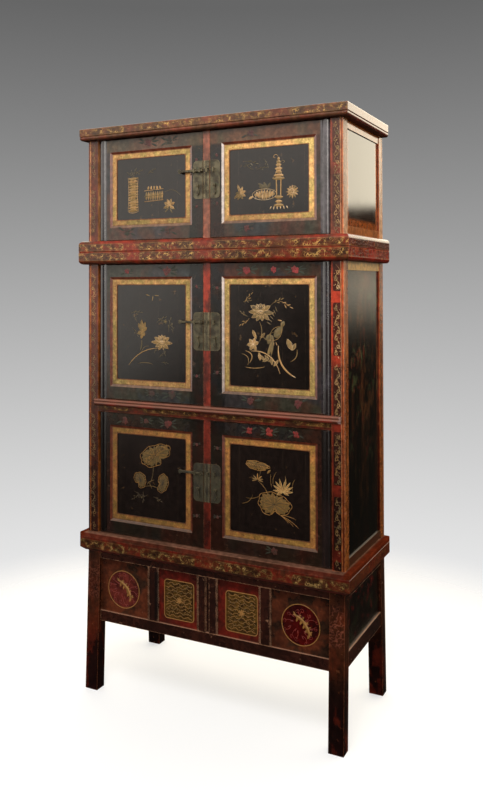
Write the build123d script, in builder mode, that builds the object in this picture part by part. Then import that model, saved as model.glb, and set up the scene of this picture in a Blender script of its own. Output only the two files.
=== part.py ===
"""Lacquered wedding cabinet in three stacked units, in millimetres.

A splayed stand with a panelled apron carries a lower cabinet with two tiers of doors, and that
carries a top chest with one tier. Every tier has a pair of doors that turn on wooden pivots, a
centre post that lifts out between them, and a three-part brass lock with a sliding bolt.

Origin: the middle of the footprint on the floor. +Z is up, and the doors face -Y.
"""

from math import sqrt
import os

from build123d import *

os.makedirs("parts", exist_ok=True)

# ---------------------------------------------------------------- driving dimensions
# Cases
case_width = 966.0
case_depth = 422.0
post_width = 41.0

# Heights, from the floor up
stand_frame_bottom = 488.0
stand_frame_height = 50.0
base_frame_height = 16.0
lower_tier_height = 432.0
middle_rail_height = 45.0
middle_tier_height = 481.0
head_frame_height = 44.0
chest_frame_height = 39.0
top_tier_height = 363.0
cornice_height = 42.0

# Moulded frames: how far each stands out past the cases, and how far it reaches in
stand_frame_overhang = 22.0
head_frame_overhang = 26.0
cornice_overhang = 24.0
frame_reach = 55.0
frame_round = 14.0
frame_arris = 2.0
flush_arris = 0.8
stand_frame_chamfer = (12.0, 14.0)
base_frame_nose = 4.0
cornice_top_round = 4.0
cornice_lower_round = 9.0
cornice_bead_height = 14.0
cornice_bead_setback = 1.0
rear_end_round = 9.0
board_thickness = 12.0
joint_line = 0.2
mitre_margin = 1.2

# Stand
leg_width = 50.0
leg_depth = 42.0
leg_splay = 19.0
apron_setback = 3.0
apron_rail_depth = 26.0
upper_rail_height = 26.0
front_rail_bottom = 240.0
front_rail_height = 37.0
side_rail_bottom = 248.0
side_rail_height = 48.0
muntin_spacing = 212.0
muntin_width = 44.0
centre_muntin_width = 78.0
muntin_channel_width = 14.0
muntin_channel_depth = 6.0
apron_panel_setback = 5.0
apron_panel_thickness = 9.0
rail_tenon_thickness = 12.0
rail_tenon_length = 18.0
rail_tenon_share = 2 / 3

# Case joinery
tenon_width = 22.0
top_tenon_length = 18.0
leg_tenon_length = 18.0
locating_tenon_length = 9.0
tenon_clearance = 0.3
side_rail_thickness = 22.0
case_rail_height = 28.0
case_rail_setback = 2.0
side_panel_setback = 6.0
side_panel_thickness = 9.0
back_panel_setback = 4.0
back_panel_thickness = 10.0
shelf_thickness = 14.0
bead_radius = 3.5
quirk_width = 2.0
quirk_depth = 1.5

# Nosing on the middle rail
nosing_half_length = 465.0
nosing_shift = 9.0
nosing_overhang = 15.0
nosing_upper_radius = 4.5
nosing_lower_radius = 7.0
nosing_end_cut = 8.0

# Doors
door_thickness = 26.0
door_gap = 3.0
column_radius = 17.0
column_gap = 0.8
column_setback = 1.0
pivot_pin_radius = 7.0
pivot_pin_length = 14.0
pivot_clearance = 0.08
pivot_seat = 0.1
lift_out_depth = 12.0
door_border = 51.0
hinge_border = 56.0
meeting_gap = 1.5
bevel_width = 8.0
bevel_depth = 4.0
panel_thickness = 10.0
panel_tongue = 6.0
gilt_width = 20.0
field_depth = 2.0
field_corner = 4.0

# Centre posts
centre_post_width = 25.0
centre_post_depth = 30.0
centre_post_entry = 3.0
centre_post_lift = 10.0
centre_post_headroom = 1.0
centre_post_clearance = 0.3
foot_tenon_width = 12.0
foot_tenon_length = 8.0

# Locks
lock_height = 128.0
lock_half_width = 51.0
lock_thickness = 1.6
lock_corner = 14.0
lock_edge_gap = 0.6
lock_rise = {"top": 16.0, "middle": 10.0, "lower": 5.0}
bolt_rise = 31.0
bolt_size = 8.0
bolt_length = 92.0
bolt_tip = -13.0
bolt_edge = 1.5
bolt_head_length = 10.0
bolt_head_height = 13.0
bolt_head_corner = 3.0
staple_clearance = 0.3
staple_wall = 2.2
staple_width = 5.0
door_staples = (-43.5, -21.5)
centre_staple = 6.0
catch_staple = 29.5
ridge_spacing = 13.0
ridge_radius = 1.6
ridge_slope = 60.0
ridge_break = 7.5

# Pendant pulls
pull_drop = 20.0
pull_across = 32.0
eye_standoff = 4.3
eye_radius = 3.6
eye_corner = 2.2
ear_thickness = 2.0
eye_pin_radius = 1.2
eye_pin_clearance = 0.05
barrel_radius = 2.9
barrel_facets = 8
barrel_width = 5.0
barrel_side_gap = 0.15
pull_length = 34.0
pull_width = 13.0
pull_thickness = 2.4
pull_neck_width = 4.2
pull_neck_length = 8.0
pull_belly_drop = 24.0

# ---------------------------------------------------------------- levels and planes
base_frame_bottom = stand_frame_bottom + stand_frame_height
lower_tier_bottom = base_frame_bottom + base_frame_height
middle_rail_bottom = lower_tier_bottom + lower_tier_height
middle_tier_bottom = middle_rail_bottom + middle_rail_height
head_frame_bottom = middle_tier_bottom + middle_tier_height
chest_frame_bottom = head_frame_bottom + head_frame_height
top_tier_bottom = chest_frame_bottom + chest_frame_height
cornice_bottom = top_tier_bottom + top_tier_height
cabinet_height = cornice_bottom + cornice_height

half_width = case_width / 2
case_y = (head_frame_overhang - leg_splay) / 2
front_y = case_y - case_depth / 2
back_y = case_y + case_depth / 2
opening_half = half_width - post_width
post_spots = [
    (side * (half_width - post_width / 2), y)
    for side in (-1, 1)
    for y in (front_y + post_width / 2, back_y - post_width / 2)
]

column_y = front_y + column_setback + column_radius
column_x = opening_half - column_gap - column_radius
leaf_y = column_y - door_thickness / 2
panel_y = leaf_y + bevel_depth
meeting_x = centre_post_width / 2 + meeting_gap
pin_engagement = pivot_pin_length - door_gap
tiers = {
    "lower": (lower_tier_bottom, middle_rail_bottom),
    "middle": (middle_tier_bottom, head_frame_bottom),
    "top": (top_tier_bottom, cornice_bottom),
}
sides = {"left": -1, "right": 1}


def facing(y):
    """Plane at depth y that faces the front: its x is the model's X and its y is Z."""
    return Plane.XZ.offset(-y)


def box_between(x_range, y_range, z_range, mode=Mode.ADD):
    """Box between two limits on each axis."""
    ranges = (x_range, y_range, z_range)
    middle = [(low + high) / 2 for low, high in ranges]
    with Locations(tuple(middle)):
        Box(*[high - low for low, high in ranges], mode=mode)


# ---------------------------------------------------------------- shared joinery
def frame_run(z):
    """Line that a moulded frame follows: the left side, the front and the right side."""
    Polyline(
        (-half_width, back_y, z),
        (-half_width, front_y, z),
        (half_width, front_y, z),
        (half_width, back_y, z),
    )


def frame_section(z):
    """Plane square to the start of that line, with x pointing into the case and y up."""
    return Plane(origin=(-half_width, back_y, z), x_dir=(1, 0, 0), z_dir=(0, -1, 0))


def section_block(overhang, height, bottom=0):
    """Plain section of a frame member, from its outer edge to its inner one."""
    with Locations((-overhang, bottom)):
        Rectangle(overhang + frame_reach, height, align=(Align.MIN, Align.MIN))


def back_rail_and_mitres(z, height, overhang):
    """Back rail between the side members, hairline mitres in front and rounded ends behind."""
    reach_x = half_width - frame_reach - joint_line
    box_between((-reach_x, reach_x), (back_y - frame_reach, back_y), (z, z + height))
    run = (overhang + frame_reach) * sqrt(2) * mitre_margin
    for side in (-1, 1):
        corner_x = side * (half_width + (overhang - frame_reach) / 2)
        corner_y = front_y - (overhang - frame_reach) / 2
        with Locations(Location((corner_x, corner_y, z + height / 2), (0, 0, -45 * side))):
            Box(run, joint_line, height * mitre_margin, mode=Mode.SUBTRACT)
    with BuildSketch(Plane.XY.offset(z)) as outline:
        with Locations((0, (front_y - overhang + back_y) / 2)):
            Rectangle(2 * (half_width + overhang), case_depth + overhang)
        fillet(outline.vertices().group_by(Axis.Y)[-1], radius=rear_end_round)
    extrude(outline.sketch, amount=height, mode=Mode.INTERSECT)


def sockets(z, depth):
    """Square mortises for the corner posts, from level z upward."""
    width = tenon_width + 2 * tenon_clearance
    with BuildSketch(Plane.XY.offset(z)) as mortises:
        with Locations(*post_spots):
            Rectangle(width, width)
    extrude(mortises.sketch, amount=depth, mode=Mode.SUBTRACT)


def pivot_holes(z, depth):
    """Round holes for the door pivots at both ends, from level z upward."""
    with BuildSketch(Plane.XY.offset(z)) as holes:
        with Locations((-column_x, column_y), (column_x, column_y)):
            Circle(pivot_pin_radius + pivot_clearance)
    extrude(holes.sketch, amount=depth, mode=Mode.SUBTRACT)


def sill_cuts(z):
    """Pivot holes and foot mortise in a sill whose top is at z."""
    depth = pin_engagement + pivot_seat
    pivot_holes(z - depth, depth)
    foot = foot_tenon_width / 2 + centre_post_clearance
    middle_y = leaf_y + centre_post_depth / 2
    box_between(
        (-foot, foot),
        (middle_y - foot, middle_y + foot),
        (z - foot_tenon_length - pivot_seat, z),
        mode=Mode.SUBTRACT,
    )


def lintel_cuts(z):
    """Deeper pivot holes and a post mortise in a lintel whose underside is at z.

    Doors and centre posts are lifted into them to come out of the sill below.
    """
    pivot_holes(z, pin_engagement + lift_out_depth)
    side_room = centre_post_width / 2 + centre_post_clearance
    box_between(
        (-side_room, side_room),
        (leaf_y - centre_post_clearance, leaf_y + centre_post_depth + centre_post_clearance),
        (z, z + centre_post_entry + centre_post_lift + centre_post_headroom),
        mode=Mode.SUBTRACT,
    )


def corner_posts(bottom, top, foot_length):
    """Four square posts with a bead on the outer corner and a tenon at each end."""
    for x, y in post_spots:
        side_x = 1 if x > 0 else -1
        side_y = 1 if y > case_y else -1
        outer_x = x + side_x * post_width / 2
        outer_y = y + side_y * post_width / 2
        quirk = 2 * bead_radius + quirk_width / 2
        with BuildSketch(Plane.XY.offset(bottom)) as shaft:
            with Locations((x, y)):
                Rectangle(post_width, post_width)
            with Locations((outer_x - side_x * quirk, outer_y), (outer_x, outer_y - side_y * quirk)):
                Rectangle(2 * quirk_depth, 2 * quirk_depth, rotation=45, mode=Mode.SUBTRACT)
        extrude(shaft.sketch, amount=top - bottom)
        for start, length in ((bottom - foot_length, foot_length), (top, top_tenon_length)):
            with Locations((x, y, start + length / 2)):
                Box(tenon_width, tenon_width, length)


def side_rails(bottom, top):
    """Top and bottom rails of both side walls, between the front and back posts."""
    for side in (-1, 1):
        outer = side * (half_width - case_rail_setback)
        inner = outer - side * side_rail_thickness
        x_range = (min(outer, inner), max(outer, inner))
        y_range = (front_y + post_width, back_y - post_width)
        for low in (bottom, top - case_rail_height):
            box_between(x_range, y_range, (low, low + case_rail_height))


def side_panels(bottom, top):
    """Side boards between the posts and between the rails."""
    for side in (-1, 1):
        outer = side * (half_width - side_panel_setback)
        inner = outer - side * side_panel_thickness
        box_between(
            (min(outer, inner), max(outer, inner)),
            (front_y + post_width, back_y - post_width),
            (bottom + case_rail_height, top - case_rail_height),
        )


def back_panel(bottom, top):
    """Back boards between the back posts."""
    outer = back_y - back_panel_setback
    box_between((-opening_half, opening_half), (outer - back_panel_thickness, outer), (bottom, top))


def inner_board(top):
    """Board set inside a frame, flush with the level given."""
    reach_x = half_width - frame_reach
    box_between(
        (-reach_x, reach_x),
        (front_y + frame_reach, back_y - frame_reach),
        (top - board_thickness, top),
    )


# ---------------------------------------------------------------- stand
# Legs: square, upright sideways and splayed to the front and back
leg_blanks = {}
for side_name, side in sides.items():
    for end_name, end in (("front", -1), ("rear", 1)):
        face_y = front_y if end < 0 else back_y
        top_spot = (side * (half_width - leg_width / 2), face_y - end * leg_depth / 2)
        with BuildPart() as blank:
            with BuildSketch(Plane.XY):
                with Locations((top_spot[0], top_spot[1] + end * leg_splay)):
                    Rectangle(leg_width, leg_depth)
            with BuildSketch(Plane.XY.offset(stand_frame_bottom)):
                with Locations(top_spot):
                    Rectangle(leg_width, leg_depth)
            loft()
        leg_blanks[(end_name, side_name)] = (blank.part, top_spot)

apron_front = front_y + apron_setback
apron_back = back_y - apron_setback
apron_side = half_width - apron_setback
rail_levels = {
    "lower_front": (front_rail_bottom, front_rail_height),
    "lower_side": (side_rail_bottom, side_rail_height),
    "upper": (stand_frame_bottom - upper_rail_height, upper_rail_height),
}


def front_tenons(mode):
    """Tenons of the front and back apron rails, reaching into the legs."""
    for bottom, height in (rail_levels["lower_front"], rail_levels["upper"]):
        for y in (apron_front + apron_rail_depth / 2, apron_back - apron_rail_depth / 2):
            for side in (-1, 1):
                inner_x = side * (half_width - leg_width)
                with Locations((inner_x + side * rail_tenon_length / 2, y, bottom + height / 2)):
                    Box(
                        rail_tenon_length,
                        rail_tenon_thickness,
                        height * rail_tenon_share,
                        mode=mode,
                    )


def side_tenons(mode):
    """Tenons of the side apron rails. They start inside the rail, past the sloping shoulder."""
    start = front_y + leg_depth
    for bottom, height in (rail_levels["lower_side"], rail_levels["upper"]):
        shift = leg_splay * (1 - (bottom + height / 2) / stand_frame_bottom)
        for x in (-apron_side + apron_rail_depth / 2, apron_side - apron_rail_depth / 2):
            for end, shoulder in ((-1, start - shift), (1, back_y - leg_depth + shift)):
                with Locations((x, shoulder, bottom + height / 2)):
                    Box(
                        rail_tenon_thickness,
                        2 * rail_tenon_length,
                        height * rail_tenon_share,
                        mode=mode,
                    )


def leg_shapes(mode):
    """All four leg blanks."""
    for blank_part, _ in leg_blanks.values():
        add(blank_part, mode=mode)


for (end_name, side_name), (blank_part, top_spot) in leg_blanks.items():
    with BuildPart() as leg:
        add(blank_part)
        with BuildSketch(Plane.XY.offset(stand_frame_bottom)):
            with Locations(top_spot):
                Rectangle(tenon_width, tenon_width)
        extrude(amount=leg_tenon_length)
        front_tenons(Mode.SUBTRACT)
        side_tenons(Mode.SUBTRACT)
    leg.part.label = f"leg_{end_name}_{side_name}"
    export_step(leg.part, f"parts/leg_{end_name}_{side_name}.step")

# Top frame of the stand, under the case: chamfered below, with sockets for leg and post tenons
with BuildPart() as stand_frame:
    with BuildLine():
        frame_run(stand_frame_bottom)
    with BuildSketch(frame_section(stand_frame_bottom)) as section:
        section_block(stand_frame_overhang, stand_frame_height)
        outer = section.vertices().group_by(Axis.X)[0].sort_by(Axis.Y)
        chamfer(outer[0], length=stand_frame_chamfer[0], length2=stand_frame_chamfer[1])
        chamfer(outer[1], length=flush_arris)
    sweep(transition=Transition.RIGHT)
    back_rail_and_mitres(stand_frame_bottom, stand_frame_height, stand_frame_overhang)
    with BuildSketch(Plane.XY.offset(stand_frame_bottom)):
        with Locations(*[spot for _, spot in leg_blanks.values()]):
            Rectangle(tenon_width, tenon_width)
    extrude(amount=leg_tenon_length, mode=Mode.SUBTRACT)
    socket_depth = locating_tenon_length + tenon_clearance
    sockets(base_frame_bottom - socket_depth, socket_depth)
stand_frame.part.label = "stand_frame"
export_step(stand_frame.part, "parts/stand_frame.step")

# Apron rails: upper and lower, on all four sides, tenoned into the legs
with BuildPart() as apron_rails:
    for name in ("lower_front", "upper"):
        bottom, height = rail_levels[name]
        span = (-half_width + leg_width, half_width - leg_width)
        for y in (apron_front, apron_back - apron_rail_depth):
            box_between(span, (y, y + apron_rail_depth), (bottom, bottom + height))
    for name in ("lower_side", "upper"):
        bottom, height = rail_levels[name]
        for x in (-apron_side, apron_side - apron_rail_depth):
            box_between((x, x + apron_rail_depth), (front_y, back_y), (bottom, bottom + height))
    leg_shapes(Mode.SUBTRACT)
    front_tenons(Mode.ADD)
    side_tenons(Mode.ADD)
apron_rails.part.label = "apron_rails"
export_step(apron_rails.part, "parts/apron_rails.step")

# Uprights that divide the front apron: a wide channelled one in the middle and two plain ones
panel_bottom = front_rail_bottom + front_rail_height
panel_top = stand_frame_bottom - upper_rail_height
muntins = [
    (-muntin_spacing, muntin_width),
    (0, centre_muntin_width),
    (muntin_spacing, muntin_width),
]
with BuildPart() as apron_muntins:
    for x, width in muntins:
        with BuildSketch(Plane.XY.offset(panel_bottom)):
            with Locations((x, apron_front + apron_rail_depth / 2)):
                Rectangle(width, apron_rail_depth)
            quirk_x = width / 2 - 2 * quirk_width
            with Locations((x - quirk_x, apron_front), (x + quirk_x, apron_front)):
                Rectangle(2 * quirk_depth, 2 * quirk_depth, rotation=45, mode=Mode.SUBTRACT)
            if width > muntin_width:
                with Locations((x, apron_front)):
                    Rectangle(muntin_channel_width, 2 * muntin_channel_depth, mode=Mode.SUBTRACT)
        extrude(amount=panel_top - panel_bottom)
apron_muntins.part.label = "apron_muntins"
export_step(apron_muntins.part, "parts/apron_muntins.step")

# Four boards in the front apron, between the legs and the uprights
with BuildPart() as apron_front_panels:
    inner_edges = [-half_width + leg_width]
    for x, width in muntins:
        inner_edges += [x - width / 2, x + width / 2]
    inner_edges.append(half_width - leg_width)
    board_y = apron_front + apron_panel_setback
    for left, right in zip(inner_edges[0::2], inner_edges[1::2]):
        y_range = (board_y, board_y + apron_panel_thickness)
        box_between((left, right), y_range, (panel_bottom, panel_top))
apron_front_panels.part.label = "apron_front_panels"
export_step(apron_front_panels.part, "parts/apron_front_panels.step")

# Boards in the two sides and the back of the apron
with BuildPart() as apron_return_panels:
    board_x = apron_side - apron_panel_setback
    for x in (-board_x, board_x - apron_panel_thickness):
        box_between(
            (x, x + apron_panel_thickness),
            (front_y, back_y),
            (side_rail_bottom + side_rail_height, panel_top),
        )
    leg_shapes(Mode.SUBTRACT)
    back_board_y = apron_back - apron_panel_setback
    box_between(
        (-half_width + leg_width, half_width - leg_width),
        (back_board_y - apron_panel_thickness, back_board_y),
        (panel_bottom, panel_top),
    )
apron_return_panels.part.label = "apron_return_panels"
export_step(apron_return_panels.part, "parts/apron_return_panels.step")

# ---------------------------------------------------------------- lower cabinet
# Base frame: sill of the lower doors, flush with the top frame of the stand
with BuildPart() as lower_base_frame:
    with BuildLine():
        frame_run(base_frame_bottom)
    with BuildSketch(frame_section(base_frame_bottom)) as section:
        section_block(stand_frame_overhang, base_frame_height)
        outer = section.vertices().group_by(Axis.X)[0].sort_by(Axis.Y)
        chamfer(outer[0], length=flush_arris)
        fillet(outer[1], radius=base_frame_nose)
    sweep(transition=Transition.RIGHT)
    back_rail_and_mitres(base_frame_bottom, base_frame_height, stand_frame_overhang)
    sockets(base_frame_bottom, base_frame_height)
    sill_cuts(lower_tier_bottom)
lower_base_frame.part.label = "lower_base_frame"
export_step(lower_base_frame.part, "parts/lower_base_frame.step")

with BuildPart() as lower_floor:
    inner_board(lower_tier_bottom)
lower_floor.part.label = "lower_floor"
export_step(lower_floor.part, "parts/lower_floor.step")

# Posts: their feet pass through the base frame and locate the cabinet on the stand
with BuildPart() as lower_posts:
    corner_posts(
        lower_tier_bottom, head_frame_bottom, base_frame_height + locating_tenon_length
    )
lower_posts.part.label = "lower_posts"
export_step(lower_posts.part, "parts/lower_posts.step")

# Double-bead nosing of the middle rail: it runs across the posts and ends in rounded corners
nosing_height = 2 * (nosing_upper_radius + nosing_lower_radius)
with BuildPart() as nosing:
    with BuildSketch(Plane.YZ.offset(nosing_shift - nosing_half_length)):
        with Locations((front_y, middle_tier_bottom)):
            Rectangle(
                nosing_overhang - nosing_lower_radius,
                nosing_height,
                align=(Align.MAX, Align.MAX),
            )
        upper_z = middle_tier_bottom - nosing_upper_radius
        lower_z = middle_tier_bottom - 2 * nosing_upper_radius - nosing_lower_radius
        centre_y = front_y - nosing_overhang + nosing_lower_radius
        with Locations((centre_y, upper_z)):
            Circle(nosing_upper_radius)
        with Locations((centre_y, lower_z)):
            Circle(nosing_lower_radius)
    extrude(amount=2 * nosing_half_length)
    with BuildSketch(Plane.XY.offset(middle_tier_bottom - nosing_height)):
        with Locations((nosing_shift, front_y)):
            ends = Rectangle(2 * nosing_half_length, 2 * nosing_overhang)
        chamfer(ends.vertices(), length=nosing_end_cut)
    extrude(amount=nosing_height, mode=Mode.INTERSECT)

# Rail between the two tiers, with its nosing: lintel of one pair of doors and sill of the other
with BuildPart() as middle_rail:
    box_between(
        (-opening_half, opening_half),
        (front_y, front_y + post_width),
        (middle_rail_bottom, middle_tier_bottom),
    )
    add(nosing.part)
    sill_cuts(middle_tier_bottom)
    lintel_cuts(middle_rail_bottom)
middle_rail.part.label = "middle_rail"
export_step(middle_rail.part, "parts/middle_rail.step")

# Shelf between the tiers, notched round the back posts
with BuildPart() as shelf:
    shelf_half = half_width - side_panel_setback - side_panel_thickness
    shelf_back = back_y - back_panel_setback - back_panel_thickness
    shelf_levels = (middle_tier_bottom - shelf_thickness, middle_tier_bottom)
    box_between((-shelf_half, shelf_half), (front_y + post_width, shelf_back), shelf_levels)
    for side in (-1, 1):
        notch = sorted((side * opening_half, side * half_width))
        box_between(notch, (back_y - post_width, back_y), shelf_levels, mode=Mode.SUBTRACT)
shelf.part.label = "shelf"
export_step(shelf.part, "parts/shelf.step")

with BuildPart() as lower_side_rails:
    side_rails(lower_tier_bottom, head_frame_bottom)
lower_side_rails.part.label = "lower_side_rails"
export_step(lower_side_rails.part, "parts/lower_side_rails.step")

with BuildPart() as lower_side_panels:
    side_panels(lower_tier_bottom, head_frame_bottom)
lower_side_panels.part.label = "lower_side_panels"
export_step(lower_side_panels.part, "parts/lower_side_panels.step")

with BuildPart() as lower_back_panel:
    back_panel(lower_tier_bottom, head_frame_bottom)
lower_back_panel.part.label = "lower_back_panel"
export_step(lower_back_panel.part, "parts/lower_back_panel.step")

# Head frame: lintel of the middle doors, rounded below, with sockets for the chest above
with BuildPart() as head_frame:
    with BuildLine():
        frame_run(head_frame_bottom)
    with BuildSketch(frame_section(head_frame_bottom)) as section:
        section_block(head_frame_overhang, head_frame_height)
        outer = section.vertices().group_by(Axis.X)[0].sort_by(Axis.Y)
        chamfer(outer[1], length=frame_arris)
        fillet(outer[0], radius=frame_round)
    sweep(transition=Transition.RIGHT)
    back_rail_and_mitres(head_frame_bottom, head_frame_height, head_frame_overhang)
    sockets(head_frame_bottom, top_tenon_length)
    sockets(chest_frame_bottom - socket_depth, socket_depth)
    lintel_cuts(head_frame_bottom)
head_frame.part.label = "head_frame"
export_step(head_frame.part, "parts/head_frame.step")

with BuildPart() as lower_top_board:
    inner_board(chest_frame_bottom)
lower_top_board.part.label = "lower_top_board"
export_step(lower_top_board.part, "parts/lower_top_board.step")

# ---------------------------------------------------------------- top chest
# Base frame: sill of the top doors, rounded above
with BuildPart() as chest_base_frame:
    with BuildLine():
        frame_run(chest_frame_bottom)
    with BuildSketch(frame_section(chest_frame_bottom)) as section:
        section_block(head_frame_overhang, chest_frame_height)
        outer = section.vertices().group_by(Axis.X)[0].sort_by(Axis.Y)
        chamfer(outer[0], length=frame_arris)
        fillet(outer[1], radius=frame_round)
    sweep(transition=Transition.RIGHT)
    back_rail_and_mitres(chest_frame_bottom, chest_frame_height, head_frame_overhang)
    sockets(chest_frame_bottom, chest_frame_height)
    sill_cuts(top_tier_bottom)
chest_base_frame.part.label = "chest_base_frame"
export_step(chest_base_frame.part, "parts/chest_base_frame.step")

with BuildPart() as chest_floor:
    inner_board(top_tier_bottom)
chest_floor.part.label = "chest_floor"
export_step(chest_floor.part, "parts/chest_floor.step")

with BuildPart() as chest_posts:
    corner_posts(top_tier_bottom, cornice_bottom, chest_frame_height + locating_tenon_length)
chest_posts.part.label = "chest_posts"
export_step(chest_posts.part, "parts/chest_posts.step")

with BuildPart() as chest_side_rails:
    side_rails(top_tier_bottom, cornice_bottom)
chest_side_rails.part.label = "chest_side_rails"
export_step(chest_side_rails.part, "parts/chest_side_rails.step")

with BuildPart() as chest_side_panels:
    side_panels(top_tier_bottom, cornice_bottom)
chest_side_panels.part.label = "chest_side_panels"
export_step(chest_side_panels.part, "parts/chest_side_panels.step")

with BuildPart() as chest_back_panel:
    back_panel(top_tier_bottom, cornice_bottom)
chest_back_panel.part.label = "chest_back_panel"
export_step(chest_back_panel.part, "parts/chest_back_panel.step")

# Cornice: a tall fascia over a lower moulding, with a fine groove between them
with BuildPart() as cornice_frame:
    with BuildLine():
        frame_run(cornice_bottom)
    with BuildSketch(frame_section(cornice_bottom)) as section:
        section_block(cornice_overhang - cornice_bead_setback, cornice_bead_height)
        lower = section.vertices().group_by(Axis.X)[0].sort_by(Axis.Y)
        chamfer(lower[1], length=frame_arris)
        fillet(lower[0], radius=cornice_lower_round)
        section_block(cornice_overhang, cornice_height - cornice_bead_height, cornice_bead_height)
        upper = section.vertices().group_by(Axis.X)[0].sort_by(Axis.Y)
        chamfer(upper[0], length=frame_arris)
        fillet(upper[1], radius=cornice_top_round)
    sweep(transition=Transition.RIGHT)
    back_rail_and_mitres(cornice_bottom, cornice_height, cornice_overhang)
    sockets(cornice_bottom, top_tenon_length)
    lintel_cuts(cornice_bottom)
cornice_frame.part.label = "cornice_frame"
export_step(cornice_frame.part, "parts/cornice_frame.step")

with BuildPart() as cornice_board:
    inner_board(cabinet_height)
cornice_board.part.label = "cornice_board"
export_step(cornice_board.part, "parts/cornice_board.step")

# ---------------------------------------------------------------- doors, posts and locks
plate_face = leaf_y - lock_thickness
bolt_y = plate_face - staple_clearance - bolt_size / 2
eye_y = plate_face - eye_standoff
bar_room = bolt_size + 2 * staple_clearance


def staple(x, z):
    """Square-holed staple that the bolt slides through, standing on a plate."""
    loop_height = bar_room + 2 * staple_wall
    at_plate = (Align.MAX, Align.CENTER)
    with BuildSketch(Plane.YZ.offset(x - staple_width / 2)) as loop:
        with Locations((plate_face, z)):
            Rectangle(bar_room + staple_wall, loop_height, align=at_plate)
            Rectangle(bar_room, bar_room, align=at_plate, mode=Mode.SUBTRACT)
    extrude(loop.sketch, amount=staple_width)


def pull_eye(x, z):
    """Two ears with a cross pin, from which a pendant pull hangs."""
    ear_offset = barrel_width / 2 + barrel_side_gap
    for side in (-1, 1):
        start = x + side * ear_offset - (ear_thickness if side < 0 else 0)
        with BuildSketch(Plane.YZ.offset(start)) as ear:
            with Locations((plate_face, z)):
                ear_reach = eye_standoff + eye_radius
                Rectangle(ear_reach, 2 * eye_radius, align=(Align.MAX, Align.CENTER))
            chamfer(ear.vertices().group_by(Axis.X)[0], length=eye_corner)
        extrude(ear.sketch, amount=ear_thickness)
    with BuildSketch(Plane.YZ.offset(x - ear_offset)) as pin:
        with Locations((eye_y, z)):
            Circle(eye_pin_radius)
    extrude(pin.sketch, amount=2 * ear_offset)


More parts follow.
